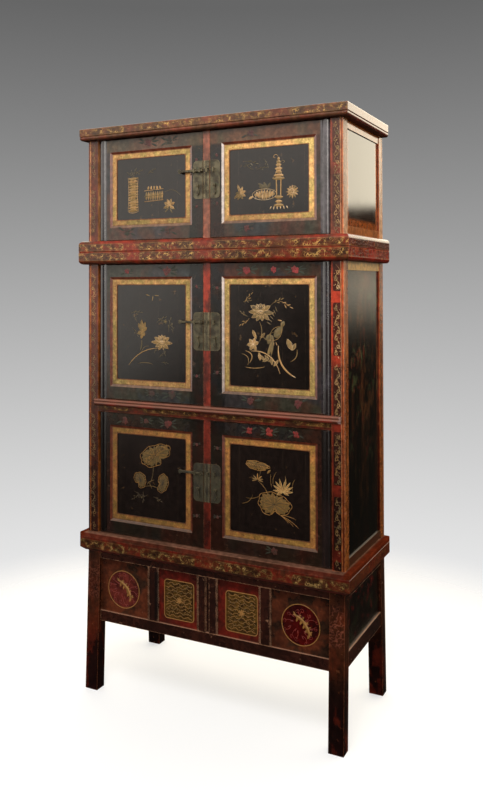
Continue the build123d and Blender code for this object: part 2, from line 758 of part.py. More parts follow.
for tier, (sill_z, lintel_z) in tiers.items():
    door_bottom = sill_z + door_gap
    door_top = lintel_z - door_gap
    lock_z = (sill_z + lintel_z) / 2 + lock_rise[tier]
    bolt_z = lock_z + bolt_rise

    # Centre post: its head stands in the lintel's deep mortise and its foot in the sill
    with BuildPart() as centre_post:
        half_post = centre_post_width / 2
        box_between(
            (-half_post, half_post),
            (leaf_y, leaf_y + centre_post_depth),
            (sill_z + pivot_seat, lintel_z + centre_post_entry),
        )
        with BuildSketch(Plane.XY.offset(sill_z - foot_tenon_length)):
            with Locations((0, leaf_y + centre_post_depth / 2)):
                Rectangle(foot_tenon_width, foot_tenon_width)
        extrude(amount=foot_tenon_length + pivot_seat)
    centre_post.part.label = f"{tier}_centre_post"
    export_step(centre_post.part, f"parts/{tier}_centre_post.step")

    # Middle plate of the lock, on the post: two ridges, broken where the bolt passes
    with BuildPart() as centre_plate:
        half_plate = centre_post_width / 2 - lock_edge_gap
        with BuildSketch(facing(leaf_y)):
            with Locations((0, lock_z)):
                Rectangle(2 * half_plate, lock_height)
        extrude(amount=lock_thickness)
        break_low = bolt_z - ridge_break
        break_high = bolt_z + ridge_break
        lock_bottom = lock_z - lock_height / 2
        lock_top = lock_z + lock_height / 2
        for low, high in ((lock_bottom, break_low), (break_high, lock_top)):
            with BuildSketch(Plane.XY.offset(low)):
                with Locations((-ridge_spacing / 2, plate_face), (ridge_spacing / 2, plate_face)):
                    Trapezoid(
                        2 * ridge_radius,
                        ridge_radius,
                        ridge_slope,
                        rotation=180,
                        align=(Align.CENTER, Align.MIN),
                    )
            extrude(amount=high - low)
        staple(centre_staple, bolt_z)
    centre_plate.part.label = f"{tier}_centre_plate"
    export_step(centre_plate.part, f"parts/{tier}_centre_plate.step")

    # Bolt, drawn back so that both doors are free
    with BuildPart() as bolt:
        box_between(
            (bolt_tip - bolt_length, bolt_tip),
            (bolt_y - bolt_size / 2, bolt_y + bolt_size / 2),
            (bolt_z - bolt_size / 2, bolt_z + bolt_size / 2),
        )
        chamfer(bolt.edges().filter_by(Axis.X), length=bolt_edge)
        chamfer(bolt.faces().sort_by(Axis.X)[-1].edges(), length=bolt_edge)
        with BuildSketch(facing(bolt_y + bolt_size / 2)) as head:
            with Locations((bolt_tip - bolt_length + bolt_head_length / 2, bolt_z)):
                Rectangle(bolt_head_length, bolt_head_height)
            chamfer(head.vertices(), length=bolt_head_corner)
        extrude(amount=bolt_size)
    bolt.part.label = f"{tier}_bolt"
    export_step(bolt.part, f"parts/{tier}_bolt.step")

    for side_name, side in sides.items():
        door = f"{tier}_{side_name}"
        leaf_span = sorted((side * meeting_x, side * column_x))
        panel_edges = sorted(
            (side * (meeting_x + door_border), side * (column_x + column_radius - hinge_border))
        )
        panel_x = sum(panel_edges) / 2
        panel_z = (door_bottom + door_top) / 2
        open_width = panel_edges[1] - panel_edges[0]
        open_height = door_top - door_bottom - 2 * door_border

        # Frame: the hinge stile is a round column that ends in two pivot pins
        with BuildPart() as door_frame:
            box_between(leaf_span, (leaf_y, leaf_y + door_thickness), (door_bottom, door_top))
            with BuildSketch(Plane.XY.offset(door_bottom)):
                with Locations((side * column_x, column_y)):
                    Circle(column_radius)
            extrude(amount=door_top - door_bottom)
            for pin_z in (door_bottom - pivot_pin_length, door_top):
                with BuildSketch(Plane.XY.offset(pin_z)):
                    with Locations((side * column_x, column_y)):
                        Circle(pivot_pin_radius)
                extrude(amount=pivot_pin_length)
            with BuildSketch(facing(leaf_y)):
                with Locations((panel_x, panel_z)):
                    Rectangle(open_width + 2 * bevel_width, open_height + 2 * bevel_width)
            with BuildSketch(facing(panel_y)):
                with Locations((panel_x, panel_z)):
                    Rectangle(open_width, open_height)
            loft(mode=Mode.SUBTRACT)
            with BuildSketch(facing(panel_y)):
                with Locations((panel_x, panel_z)):
                    Rectangle(open_width, open_height)
            extrude(amount=-door_thickness, mode=Mode.SUBTRACT)
            with BuildSketch(facing(panel_y)):
                with Locations((panel_x, panel_z)):
                    Rectangle(open_width + 2 * panel_tongue, open_height + 2 * panel_tongue)
            extrude(amount=-panel_thickness, mode=Mode.SUBTRACT)
        door_frame.part.label = f"{door}_door_frame"
        export_step(door_frame.part, f"parts/{door}_door_frame.step")

        # Panel: a raised border round a sunk field
        with BuildPart() as door_panel:
            with BuildSketch(facing(panel_y)):
                with Locations((panel_x, panel_z)):
                    Rectangle(open_width + 2 * panel_tongue, open_height + 2 * panel_tongue)
            extrude(amount=-panel_thickness)
            with BuildSketch(facing(panel_y)) as field:
                with Locations((panel_x, panel_z)):
                    Rectangle(open_width - 2 * gilt_width, open_height - 2 * gilt_width)
                chamfer(field.vertices(), length=field_corner)
            extrude(amount=-field_depth, mode=Mode.SUBTRACT)
        door_panel.part.label = f"{door}_door_panel"
        export_step(door_panel.part, f"parts/{door}_door_panel.step")

        # Lock plate: rounded on its outer corners, with staples for the bolt and the pull's ears
        with BuildPart() as lock_plate:
            inner = side * (meeting_x + lock_edge_gap)
            outer = side * lock_half_width
            with BuildSketch(facing(leaf_y)) as outline:
                with Locations(((inner + outer) / 2, lock_z)):
                    Rectangle(abs(outer - inner), lock_height)
                corners = outline.vertices().group_by(Axis.X)[-1 if side > 0 else 0]
                fillet(corners, radius=lock_corner)
            extrude(amount=lock_thickness)
            for x in door_staples if side < 0 else (catch_staple,):
                staple(x, bolt_z)
            pull_eye(side * pull_across, lock_z - pull_drop)
        lock_plate.part.label = f"{door}_lock_plate"
        export_step(lock_plate.part, f"parts/{door}_lock_plate.step")

        # Pendant pull: a barrel on the eye's pin, a neck and a leaf-shaped drop
        with BuildPart() as pull:
            pull_x = side * pull_across
            pull_z = lock_z - pull_drop
            with BuildSketch(facing(eye_y + pull_thickness / 2)):
                with BuildLine():
                    neck = pull_neck_width / 2
                    neck_z = pull_z - pull_neck_length
                    belly = (pull_x + pull_width / 2, pull_z - pull_belly_drop)
                    tip = (pull_x, pull_z - pull_length)
                    Polyline(
                        (pull_x, pull_z),
                        (pull_x + neck, pull_z),
                        (pull_x + neck, neck_z),
                        belly,
                        tip,
                        close=True,
                    )
                make_face()
                mirror(about=Plane.YZ.offset(pull_x))
            extrude(amount=pull_thickness)
            with BuildSketch(Plane.YZ.offset(pull_x - barrel_width / 2)):
                with Locations((eye_y, pull_z)):
                    RegularPolygon(barrel_radius, barrel_facets, rotation=180 / barrel_facets)
            extrude(amount=barrel_width)
            with BuildSketch(Plane.YZ.offset(pull_x - barrel_width / 2)):
                with Locations((eye_y, pull_z)):
                    Circle(eye_pin_radius + eye_pin_clearance)
            extrude(amount=barrel_width, mode=Mode.SUBTRACT)
        pull.part.label = f"{door}_pull"
        export_step(pull.part, f"parts/{door}_pull.step")
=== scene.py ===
import math
import random

import bmesh
import bpy
from mathutils import Matrix, Vector


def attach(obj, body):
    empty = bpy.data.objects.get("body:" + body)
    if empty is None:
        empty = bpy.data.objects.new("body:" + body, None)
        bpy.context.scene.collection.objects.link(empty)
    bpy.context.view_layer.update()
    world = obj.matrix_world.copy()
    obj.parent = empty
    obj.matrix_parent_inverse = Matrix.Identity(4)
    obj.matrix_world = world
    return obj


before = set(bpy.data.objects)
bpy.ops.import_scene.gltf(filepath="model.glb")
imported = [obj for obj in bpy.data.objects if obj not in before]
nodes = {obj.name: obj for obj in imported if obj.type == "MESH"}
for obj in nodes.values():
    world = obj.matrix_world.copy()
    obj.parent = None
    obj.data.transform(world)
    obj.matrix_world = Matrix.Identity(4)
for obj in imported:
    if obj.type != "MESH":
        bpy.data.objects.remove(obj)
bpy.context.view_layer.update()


# ---------------------------------------------------------------- Stand: legs, rails and uprights
# Four splayed legs of elm with tenoned apron rails and uprights, lacquered nearly black over a
# red-brown ground. Handling has rubbed the arrises back to the red, and painted shade darkens
# the lacquer towards the floor.
def shade(red, green, blue):
    """A colour off a paint chart, 0 to 255 each, as a shader takes it."""
    parts = []
    for part in (red, green, blue):
        share = part / 255
        parts.append(share / 12.92 if share <= 0.04045 else ((share + 0.055) / 1.055) ** 2.4)
    return (*parts, 1.0)


def add(tree, kind, inputs=None, **settings):
    """One node with its settings; each input is a plain value or another node's socket."""
    made = tree.nodes.new(kind)
    for label, value in settings.items():
        setattr(made, label, value)
    for label, value in (inputs or {}).items():
        if isinstance(value, bpy.types.NodeSocket):
            tree.links.new(value, made.inputs[label])
        else:
            made.inputs[label].default_value = value
    return made


def reckon(tree, how, *terms):
    """One sum on numbers."""
    made = add(tree, "ShaderNodeMath", dict(enumerate(terms)), operation=how)
    return made.outputs[0]


def times(tree, first, second):
    """Product of two numbers."""
    return reckon(tree, "MULTIPLY", first, second)


def along_axes(tree, vector):
    """The vector's X, Y and Z."""
    return add(tree, "ShaderNodeSeparateXYZ", {0: vector}).outputs


def facing_of(tree):
    """Which way the surface faces, axis by axis."""
    return along_axes(tree, add(tree, "ShaderNodeNewGeometry").outputs["True Normal"])


def spread(tree, value, low, high, start=0.0, end=1.0):
    """The value's run from low to high, eased to run from start to end."""
    inputs = {"Value": value, "From Min": low, "From Max": high, "To Min": start, "To Max": end}
    return add(tree, "ShaderNodeMapRange", inputs, interpolation_type="SMOOTHSTEP").outputs[0]


def layered(tree, cover, under, over, how="MIX"):
    """The over colour laid on the under one wherever the cover is 1."""
    inputs = {0: cover, 6: under, 7: over}
    return add(tree, "ShaderNodeMix", inputs, data_type="RGBA", blend_type=how).outputs[2]


def mottle(tree, place, scale, detail=3.0, stretch=(1.0, 1.0, 1.0)):
    """Cloudy variation; a stretch below 1 draws it out along that axis."""
    turned = add(tree, "ShaderNodeMapping", {"Vector": place, "Scale": stretch}).outputs[0]
    inputs = {"Vector": turned, "Scale": scale, "Detail": detail, "Roughness": 0.6}
    return add(tree, "ShaderNodeTexNoise", inputs).outputs[0]


def edge_lean(tree, radius):
    """1 on open faces, falling below 1 within that radius of an edge."""
    eased = add(tree, "ShaderNodeBevel", {"Radius": radius}, samples=6)
    straight = add(tree, "ShaderNodeNewGeometry").outputs["Normal"]
    lean = add(tree, "ShaderNodeVectorMath", {0: eased.outputs[0], 1: straight}, operation="DOT_PRODUCT")
    return lean.outputs["Value"]


def new_group(name, takes, gives):
    """Empty shader group with an input for each thing it takes and an output for each it gives."""
    group = bpy.data.node_groups.new(name, "ShaderNodeTree")
    for label, value in takes.items():
        kind = "NodeSocketColor" if isinstance(value, tuple) else "NodeSocketFloat"
        socket = group.interface.new_socket(label, in_out="INPUT", socket_type=kind)
        socket.default_value = value
    for label in gives:
        kind = "NodeSocketColor" if label.startswith("Colour") else "NodeSocketFloat"
        group.interface.new_socket(label, in_out="OUTPUT", socket_type=kind)
    return group, group.nodes.new("NodeGroupInput"), group.nodes.new("NodeGroupOutput")


def place_of(tree):
    """Where the surface is, on the piece's own axes in metres."""
    return add(tree, "ShaderNodeTexCoord").outputs["Object"]


takes = {
    "Ground": shade(60, 30, 20),
    "Grime": shade(20, 12, 8),
    "Worn": shade(120, 80, 50),
    "Blotch": 0.6,
    "Wear": 0.7,
    "Edge": 0.004,
    "Smooth": 0.17,
}
old_lacquer, entry, outcome = new_group(
    "Old lacquer", takes, ("Colour", "Roughness", "Height", "Rubbed")
)
place = place_of(old_lacquer)
cloud = mottle(old_lacquer, place, 7.0, 5.0, (1.0, 1.0, 0.6))
fine = mottle(old_lacquer, place, 60.0, 3.0)
chips = mottle(old_lacquer, place, 150.0, 2.0)
dirt = times(old_lacquer, spread(old_lacquer, cloud, 0.40, 0.66), entry.outputs["Blotch"])
tone = layered(old_lacquer, dirt, entry.outputs["Ground"], entry.outputs["Grime"])
mottle_and_floor_shade = spread(old_lacquer, fine, 0.35, 0.72, 0.70, 1.28)
level = along_axes(old_lacquer, place)["Z"]
# Painted shade: on top of the random mottle, the lacquer darkens towards the floor.
mottle_and_floor_shade = times(old_lacquer, mottle_and_floor_shade, spread(old_lacquer, level, 0.45, 1.65, 0.55, 1.0))
arris = spread(old_lacquer, edge_lean(old_lacquer, entry.outputs["Edge"]), 0.995, 0.80)
patchy = spread(old_lacquer, fine, 0.34, 0.62)
broken = spread(old_lacquer, chips, 0.36, 0.56)
rubbed = times(old_lacquer, arris, reckon(old_lacquer, "MAXIMUM", patchy, broken))
bare = spread(old_lacquer, mottle(old_lacquer, place, 38.0, 4.0), 0.66, 0.72, 0.0, 0.55)
rubbed = times(old_lacquer, reckon(old_lacquer, "MAXIMUM", rubbed, bare), entry.outputs["Wear"])
tone = layered(old_lacquer, rubbed, tone, entry.outputs["Worn"])
tone = layered(old_lacquer, 1.0, tone, mottle_and_floor_shade, "MULTIPLY")
cells = add(
    old_lacquer,
    "ShaderNodeTexVoronoi",
    {"Vector": place, "Scale": 95.0},
    feature="DISTANCE_TO_EDGE",
)
crack = spread(old_lacquer, cells.outputs[0], 0.0, 0.05, -0.35, 0.0)
dull = reckon(old_lacquer, "MULTIPLY_ADD", cloud, 0.12, entry.outputs["Smooth"])
dull = reckon(old_lacquer, "MULTIPLY_ADD", rubbed, 0.22, dull)
relief = reckon(old_lacquer, "MULTIPLY_ADD", rubbed, -0.8, reckon(old_lacquer, "ADD", fine, crack))
old_lacquer.links.new(tone, outcome.inputs["Colour"])
old_lacquer.links.new(dull, outcome.inputs["Roughness"])
old_lacquer.links.new(relief, outcome.inputs["Height"])
old_lacquer.links.new(rubbed, outcome.inputs["Rubbed"])


def new_finish(name):
    """Empty material with its surface shader in place."""
    material = bpy.data.materials.new(name)
    material.use_nodes = True
    tree = material.node_tree
    tree.nodes.clear()
    shader = add(tree, "ShaderNodeBsdfPrincipled")
    add(tree, "ShaderNodeOutputMaterial", {"Surface": shader.outputs[0]})
    return material, tree, shader


def aged(tree, ground, grime, worn, **amounts):
    """The old lacquer group laid over a ground colour or over a painted pattern's colours."""
    made = add(tree, "ShaderNodeGroup", node_tree=old_lacquer)
    for label, value in (("Ground", ground), ("Grime", grime), ("Worn", worn), *amounts.items()):
        if isinstance(value, bpy.types.NodeSocket):
            tree.links.new(value, made.inputs[label])
        else:
            made.inputs[label].default_value = value
    return made


def coat(tree, shader, age, depth=0.0004, strength=0.5, shine=0.4):
    """The aged colour, dullness and relief taken to the surface shader."""
    shader.inputs["Specular IOR Level"].default_value = shine
    tree.links.new(age.outputs["Colour"], shader.inputs["Base Color"])
    tree.links.new(age.outputs["Roughness"], shader.inputs["Roughness"])
    inputs = {"Height": age.outputs["Height"], "Distance": depth, "Strength": strength}
    bump = add(tree, "ShaderNodeBump", inputs)
    tree.links.new(bump.outputs[0], shader.inputs["Normal"])


def coat_node(name, material):
    """A carried-over piece gets its finish in every one of its slots."""
    for slot in nodes[name].material_slots:
        slot.material = material


leg_finish, tree, shader = new_finish("Leg lacquer")
place = place_of(tree)
stain = spread(tree, mottle(tree, place, 15.0, 4.0, (1.0, 1.0, 0.45)), 0.50, 0.62)
colour = layered(tree, stain, shade(33, 13, 11), shade(94, 31, 19))
high = along_axes(tree, place)["Z"]
colour = layered(tree, spread(tree, high, 0.14, 0.27, 0.0, 0.5), colour, shade(92, 48, 26))
scroll = reckon(tree, "ABSOLUTE", reckon(tree, "SUBTRACT", mottle(tree, place, 70.0, 1.0), 0.5))
scroll = spread(tree, scroll, 0.060, 0.020, 0.0, 0.7)
scroll = times(tree, scroll, spread(tree, high, 0.31, 0.34))
scroll = times(tree, scroll, spread(tree, high, 0.455, 0.44))
facing = facing_of(tree)["Y"]
scroll = times(tree, scroll, reckon(tree, "LESS_THAN", facing, -0.7))
colour = layered(tree, scroll, colour, shade(140, 78, 60))
age = aged(tree, colour, shade(12, 7, 6), shade(140, 76, 38), Blotch=0.75, Wear=0.7, Edge=0.004)
coat(tree, shader, age, shine=0.25)
for leg in ("leg_front_left", "leg_front_right", "leg_rear_left", "leg_rear_right"):
    coat_node(leg, leg_finish)

rail_finish, tree, shader = new_finish("Apron rail lacquer")
age = aged(
    tree, shade(62, 31, 23), shade(22, 12, 10), shade(198, 146, 112), Blotch=0.6, Wear=0.85, Edge=0.004
)
place = place_of(tree)
parts = along_axes(tree, place)
# Painted shadow: a near-black strip down the right part of the left muntin, where the gap beside it lies in
# shade.
gap_shadow = reckon(tree, "ABSOLUTE", reckon(tree, "ADD", parts["X"], 0.1985))
gap_shadow = times(tree, spread(tree, gap_shadow, 0.0085, 0.0065), spread(tree, parts["Z"], 0.285, 0.292))
gap_shadow = times(tree, gap_shadow, spread(tree, parts["Z"], 0.452, 0.445, 0.0, 0.85))
dark = layered(tree, gap_shadow, age.outputs["Colour"], shade(12, 6, 5))
facing = facing_of(tree)
# Painted highlight: faces that look up are paler, as if lit from above.
painted_top_light = spread(tree, facing["Z"], 0.55, 0.85, 0.0, 0.75)
dark = layered(tree, painted_top_light, dark, shade(172, 130, 106))
coat(tree, shader, age, shine=0.3)
tree.links.new(dark, shader.inputs["Base Color"])
coat_node("apron_rails", rail_finish)
coat_node("apron_muntins", rail_finish)


# ---------------------------------------------------------------- Stand: apron boards
# Thin boards held in grooves. The outer two are red-brown round a ring, the inner two have a
# red border round a dark square with rounded corners; the gold lines are painted on later.
apron_level = 0.3630
ring_spots = (-0.3370, 0.3335)
square_spots = (-0.1110, 0.1255)
apron_finish, tree, shader = new_finish("Apron board lacquer")
place = place_of(tree)
parts = along_axes(tree, place)
aside = reckon(tree, "ABSOLUTE", parts["X"])
above = reckon(tree, "SUBTRACT", parts["Z"], apron_level)
on_right = reckon(tree, "GREATER_THAN", parts["X"], 0.0)
ring_middle = spread(tree, on_right, 0.0, 1.0, -ring_spots[0], ring_spots[1])
square_middle = spread(tree, on_right, 0.0, 1.0, -square_spots[0], square_spots[1])
from_ring = reckon(tree, "SUBTRACT", aside, ring_middle)
squared = reckon(tree, "ADD", times(tree, from_ring, from_ring), times(tree, above, above))
in_ring = spread(tree, reckon(tree, "SQRT", squared), 0.0655, 0.0635)
from_square = reckon(tree, "ABSOLUTE", reckon(tree, "SUBTRACT", aside, square_middle))
over = reckon(tree, "MAXIMUM", reckon(tree, "SUBTRACT", from_square, 0.046), 0.0)
up = reckon(tree, "MAXIMUM", reckon(tree, "SUBTRACT", reckon(tree, "ABSOLUTE", above), 0.054), 0.0)
corner = reckon(tree, "SQRT", reckon(tree, "ADD", times(tree, over, over), times(tree, up, up)))
in_square = spread(tree, corner, 0.0125, 0.0105)
outer = spread(tree, aside, 0.225, 0.227)
patchy = spread(tree, mottle(tree, place, 16.0), 0.42, 0.6)
ground = layered(tree, patchy, shade(116, 58, 36), shade(62, 40, 28))
left_disc = layered(tree, patchy, shade(120, 50, 42), shade(88, 36, 32))
right_disc = layered(tree, patchy, shade(88, 11, 10), shade(56, 8, 9))
ground = layered(tree, in_ring, ground, layered(tree, on_right, left_disc, right_disc))
fret = mottle(tree, place, 60.0, 2.0, (1.0, 1.0, 1.6))
fret = layered(tree, spread(tree, fret, 0.40, 0.62), shade(66, 46, 23), shade(114, 82, 38))
red_border = layered(tree, patchy, shade(136, 40, 29), shade(98, 36, 27))
inner = layered(tree, in_square, red_border, fret)
ground = layered(tree, outer, inner, ground)
# Painted shade: the boards darken towards their tops, under the rail, and towards their outer ends.
painted_edge_shade = times(
    tree, spread(tree, above, 0.058, 0.088, 1.0, 0.45), spread(tree, aside, 0.385, 0.425, 1.0, 0.6)
)
ground = layered(tree, 1.0, ground, painted_edge_shade, "MULTIPLY")
age = aged(tree, ground, shade(36, 18, 13), shade(150, 84, 50), Blotch=0.5, Wear=0.4)
coat(tree, shader, age, shine=0.3)
coat_node("apron_front_panels", apron_finish)

return_finish, tree, shader = new_finish("Apron return lacquer")
place = place_of(tree)
colour = layered(
    tree,
    spread(tree, mottle(tree, place, 24.0, 2.0), 0.56, 0.60, 0.0, 0.7),
    shade(20, 8, 5),
    shade(38, 38, 24),
)
colour = layered(
    tree, spread(tree, mottle(tree, place, 31.0, 1.0), 0.61, 0.65, 0.0, 0.8), colour, shade(96, 24, 20)
)
age = aged(tree, colour, shade(14, 7, 5), shade(70, 36, 20), Blotch=0.5, Wear=0.3)
coat(tree, shader, age, shine=0.25)
coat_node("apron_return_panels", return_finish)


# ---------------------------------------------------------------- Stand: painting on the apron
# Gold and coloured lacquer laid on thick with a brush: each mark is a low ridge or a leaf-shaped
# dab on the board. Marks are drawn as points and lines, and one tree gives them their body.
brush_tree = bpy.data.node_groups.new("Brush marks", "GeometryNodeTree")
for label, kind, value in (
    ("Geometry", "NodeSocketGeometry", None),
    ("Dab sides", "NodeSocketInt", 10),
    ("Stroke sides", "NodeSocketInt", 6),
    ("Flatness", "NodeSocketFloat", 0.3),
    ("Paint", "NodeSocketMaterial", None),
):
    socket = brush_tree.interface.new_socket(label, in_out="INPUT", socket_type=kind)
    if value is not None:
        socket.default_value = value
brush_tree.interface.new_socket("Geometry", in_out="OUTPUT", socket_type="NodeSocketGeometry")
entry = brush_tree.nodes.new("NodeGroupInput")


def marked(name, kind):
    """What each point of the drawing says about its mark."""
    return add(
        brush_tree, "GeometryNodeInputNamedAttribute", {"Name": name}, data_type=kind
    ).outputs["Attribute"]


drawn = {"Geometry": entry.outputs["Geometry"], "Selection": marked("dab", "BOOLEAN")}
parted = add(brush_tree, "GeometryNodeSeparateGeometry", drawn, domain="POINT")
disc = add(brush_tree, "GeometryNodeMeshCircle", {"Vertices": entry.outputs["Dab sides"], "Radius": 0.5})
spot = add(brush_tree, "GeometryNodeInputPosition").outputs[0]
spot = along_axes(brush_tree, spot)
pinch = times(brush_tree, spot["X"], spot["X"])
pinch = reckon(brush_tree, "MULTIPLY_ADD", pinch, -2.2, 1.0)
narrow = times(brush_tree, spot["Y"], pinch)
narrow = add(brush_tree, "ShaderNodeCombineXYZ", {0: spot["X"], 1: narrow}).outputs[0]
disc = add(brush_tree, "GeometryNodeSetPosition", {"Geometry": disc.outputs[0], "Position": narrow})
crown = add(
    brush_tree,
    "GeometryNodeMeshLine",
    {"Count": 2, "Start Location": (-0.2, 0.0, 1.0), "Offset": (0.35, 0.0, 0.0)},
)
leaf_shape = add(brush_tree, "GeometryNodeJoinGeometry")
brush_tree.links.new(disc.outputs[0], leaf_shape.inputs[0])
brush_tree.links.new(crown.outputs[0], leaf_shape.inputs[0])
leaf_shape = add(brush_tree, "GeometryNodeConvexHull", {0: leaf_shape.outputs[0]})
spots = add(brush_tree, "GeometryNodeMeshToPoints", {"Mesh": parted.outputs["Selection"]})
heading = add(brush_tree, "ShaderNodeCombineXYZ", {2: marked("turn", "FLOAT")}).outputs[0]
heading = add(brush_tree, "FunctionNodeEulerToRotation", {0: heading}).outputs[0]
dabs = add(
    brush_tree,
    "GeometryNodeInstanceOnPoints",
    {
        "Points": spots.outputs[0],
        "Instance": leaf_shape.outputs[0],
        "Rotation": heading,
        "Scale": marked("size", "FLOAT_VECTOR"),
    },
)
lines = add(brush_tree, "GeometryNodeMeshToCurve", {"Mesh": parted.outputs["Inverted"]})
profile = add(
    brush_tree,
    "GeometryNodeCurvePrimitiveCircle",
    {"Resolution": entry.outputs["Stroke sides"], "Radius": 0.5},
)
strokes = add(
    brush_tree,
    "GeometryNodeCurveToMesh",
    {
        "Curve": lines.outputs[0],
        "Profile Curve": profile.outputs[0],
        "Scale": marked("width", "FLOAT"),
        "Fill Caps": True,
    },
)
press = add(
    brush_tree, "ShaderNodeCombineXYZ", {0: 1.0, 1: 1.0, 2: entry.outputs["Flatness"]}
).outputs[0]
spot = add(brush_tree, "GeometryNodeInputPosition").outputs[0]
pressed = add(brush_tree, "ShaderNodeVectorMath", {0: spot, 1: press}, operation="MULTIPLY").outputs[0]
strokes = add(
    brush_tree, "GeometryNodeSetPosition", {"Geometry": strokes.outputs[0], "Position": pressed}
)
marks_together = add(brush_tree, "GeometryNodeJoinGeometry")
brush_tree.links.new(strokes.outputs[0], marks_together.inputs[0])
brush_tree.links.new(dabs.outputs[0], marks_together.inputs[0])
real = add(brush_tree, "GeometryNodeRealizeInstances", {0: marks_together.outputs[0]})
painted = add(
    brush_tree,
    "GeometryNodeSetMaterial",
    {"Geometry": real.outputs[0], "Material": entry.outputs["Paint"]},
)
add(brush_tree, "NodeGroupOutput", {0: painted.outputs[0]})
flatness = 0.3


class Drawing:
    """Brush marks on one flat face, in metres: dabs are leaf-shaped, strokes are lines."""

    def __init__(self):
        self.spots = []
        self.lines = []
        self.facts = []

    def dab(self, u, v, turn, length, width, tone, lift=0.0006):
        """A leaf-shaped mark with its middle at a point; the turn is in degrees."""
        self.spots.append((u, v, -0.0001))
        self.facts.append((True, math.radians(turn), (length, width, lift), tone, 0.0))

    def stroke(self, path, width, tone, lift=0.0001, taper=0.35):
        """A line along a path, thinner towards its ends."""
        first = len(self.spots)
        last = len(path) - 1
        for step, (u, v) in enumerate(path):
            from_end = min(step, last - step) / max(last / 2, 1)
            full = width * (taper + (1 - taper) * min(1.0, from_end * 2.2))
            self.spots.append((u, v, lift / flatness))
            self.facts.append((False, 0.0, (1.0, 1.0, 1.0), tone, full))
            if step:
                self.lines.append((first + step - 1, first + step))

    def petal(self, u, v, turn, length, width, tone, lift=0.0006):
        """A dab that starts at a point and runs out from it."""
        angle = math.radians(turn)
        reach = length / 2
        self.dab(
            u + reach * math.cos(angle), v + reach * math.sin(angle), turn, length, width, tone, lift
        )


def bent(start, end, bow, count=9):
    """Points on a bowed line: the bow is its height to the left of the way it runs."""
    run_u = end[0] - start[0]
    run_v = end[1] - start[1]
    path = []
    for step in range(count):
        share = step / (count - 1)
        out = 4 * bow * share * (1 - share)
        path.append((start[0] + run_u * share - run_v * out, start[1] + run_v * share + run_u * out))
    return path


def curl(u, v, radius, start, turns, count=14):
    """Points on a spiral that winds in to its middle; turns below 0 wind the other way."""
    path = []
    for step in range(count):
        share = step / (count - 1)
        angle = math.radians(start) + turns * math.tau * share
        reach = radius * (1 - 0.82 * share)
        path.append((u + reach * math.cos(angle), v + reach * math.sin(angle)))
    return path


def lay_paint(name, body, paint, faces):
    """The drawings on a body's faces, each with its place, made into one painted piece."""
    together = bmesh.new()
    for drawing, place in faces:
        mesh = bpy.data.meshes.new(name)
        mesh.from_pydata(drawing.spots, drawing.lines, [])
        for label, kind, column in (
            ("dab", "BOOLEAN", 0), ("turn", "FLOAT", 1), ("tone", "FLOAT", 3), ("width", "FLOAT", 4)
        ):
            layer = mesh.attributes.new(label, kind, "POINT")
            layer.data.foreach_set("value", [fact[column] for fact in drawing.facts])
        sizes = mesh.attributes.new("size", "FLOAT_VECTOR", "POINT")
        sizes.data.foreach_set("vector", [part for fact in drawing.facts for part in fact[2]])
        bare = bpy.data.objects.new(name, mesh)
        bpy.context.scene.collection.objects.link(bare)
        brush = bare.modifiers.new("Brush marks", "NODES")
        brush.node_group = brush_tree
        sockets = {
            item.name: item.identifier for item in brush_tree.interface.items_tree if item.in_out == "INPUT"
        }
        brush[sockets["Dab sides"]] = 10
        brush[sockets["Stroke sides"]] = 6
        brush[sockets["Flatness"]] = flatness
        brush[sockets["Paint"]] = paint
        ready = bare.evaluated_get(bpy.context.evaluated_depsgraph_get())
        made = bpy.data.meshes.new_from_object(ready)
        made.transform(place)
        together.from_mesh(made)
        bpy.data.objects.remove(bare)
        bpy.data.meshes.remove(made)
    bmesh.ops.recalc_face_normals(together, faces=together.faces[:])
    result = bpy.data.meshes.new(name)
    together.to_mesh(result)
    together.free()
    result.materials.append(paint)
    piece = bpy.data.objects.new(name, result)
    bpy.context.scene.collection.objects.link(piece)
    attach(piece, body)
    return piece


def on_front(depth, slope=0.0, hinge=0.0):
    """Place of a drawing on an upright face at that depth: u is the model's X and v its Z."""
    tilt = Matrix.Translation((0, depth, hinge)) @ Matrix.Rotation(slope, 4, "X") @ Matrix.Translation(
        (0, 0, -hinge)
    )
    return tilt @ Matrix.Rotation(math.pi / 2, 4, "X")


def brush_paint(name, colours, metal, dullness):
    """Thick paint whose colour follows each mark's own tone, with pits where it has flaked."""
    finish, tree, shader = new_finish(name)
    place = place_of(tree)
    own = add(tree, "ShaderNodeAttribute", attribute_name="tone").outputs["Fac"]
    mixed = reckon(tree, "SUBTRACT", mottle(tree, place, 130.0, 3.0), 0.5)
    mixed = reckon(tree, "MULTIPLY_ADD", mixed, 0.4, own)
    chart = add(tree, "ShaderNodeValToRGB", {0: mixed})
    stops = chart.color_ramp.elements
    for step, (level, colour) in enumerate(colours):
        stop = stops[step] if step < 2 else stops.new(level)
        stop.position = level
        stop.color = colour
    worn = spread(tree, mottle(tree, place, 70.0, 4.0), 0.60, 0.68, 0.0, 0.75)
    colour = layered(tree, worn, chart.outputs[0], shade(52, 34, 24))
    high = along_axes(tree, place)["Z"]
    # Painted shade: the paint darkens towards the floor.
    colour = layered(tree, 1.0, colour, spread(tree, high, 0.45, 1.65, 0.55, 1.0), "MULTIPLY")
    colour = layered(tree, 1.0, colour, spread(tree, high, 1.54, 1.58, 1.0, 0.78), "MULTIPLY")
    tint = layered(tree, spread(tree, high, 0.94, 1.02), shade(255, 236, 186), shade(255, 255, 255))
    colour = layered(tree, 1.0, colour, tint, "MULTIPLY")
    tree.links.new(colour, shader.inputs["Base Color"])
    shader.inputs["Metallic"].default_value = metal
    tree.links.new(spread(tree, mixed, 0.0, 1.0, dullness + 0.12, dullness), shader.inputs["Roughness"])
    grit = add(
        tree,
        "ShaderNodeBump",
        {"Height": mottle(tree, place, 260.0, 2.0), "Distance": 0.0002, "Strength": 0.4},
    )
    tree.links.new(grit.outputs[0], shader.inputs["Normal"])
    return finish


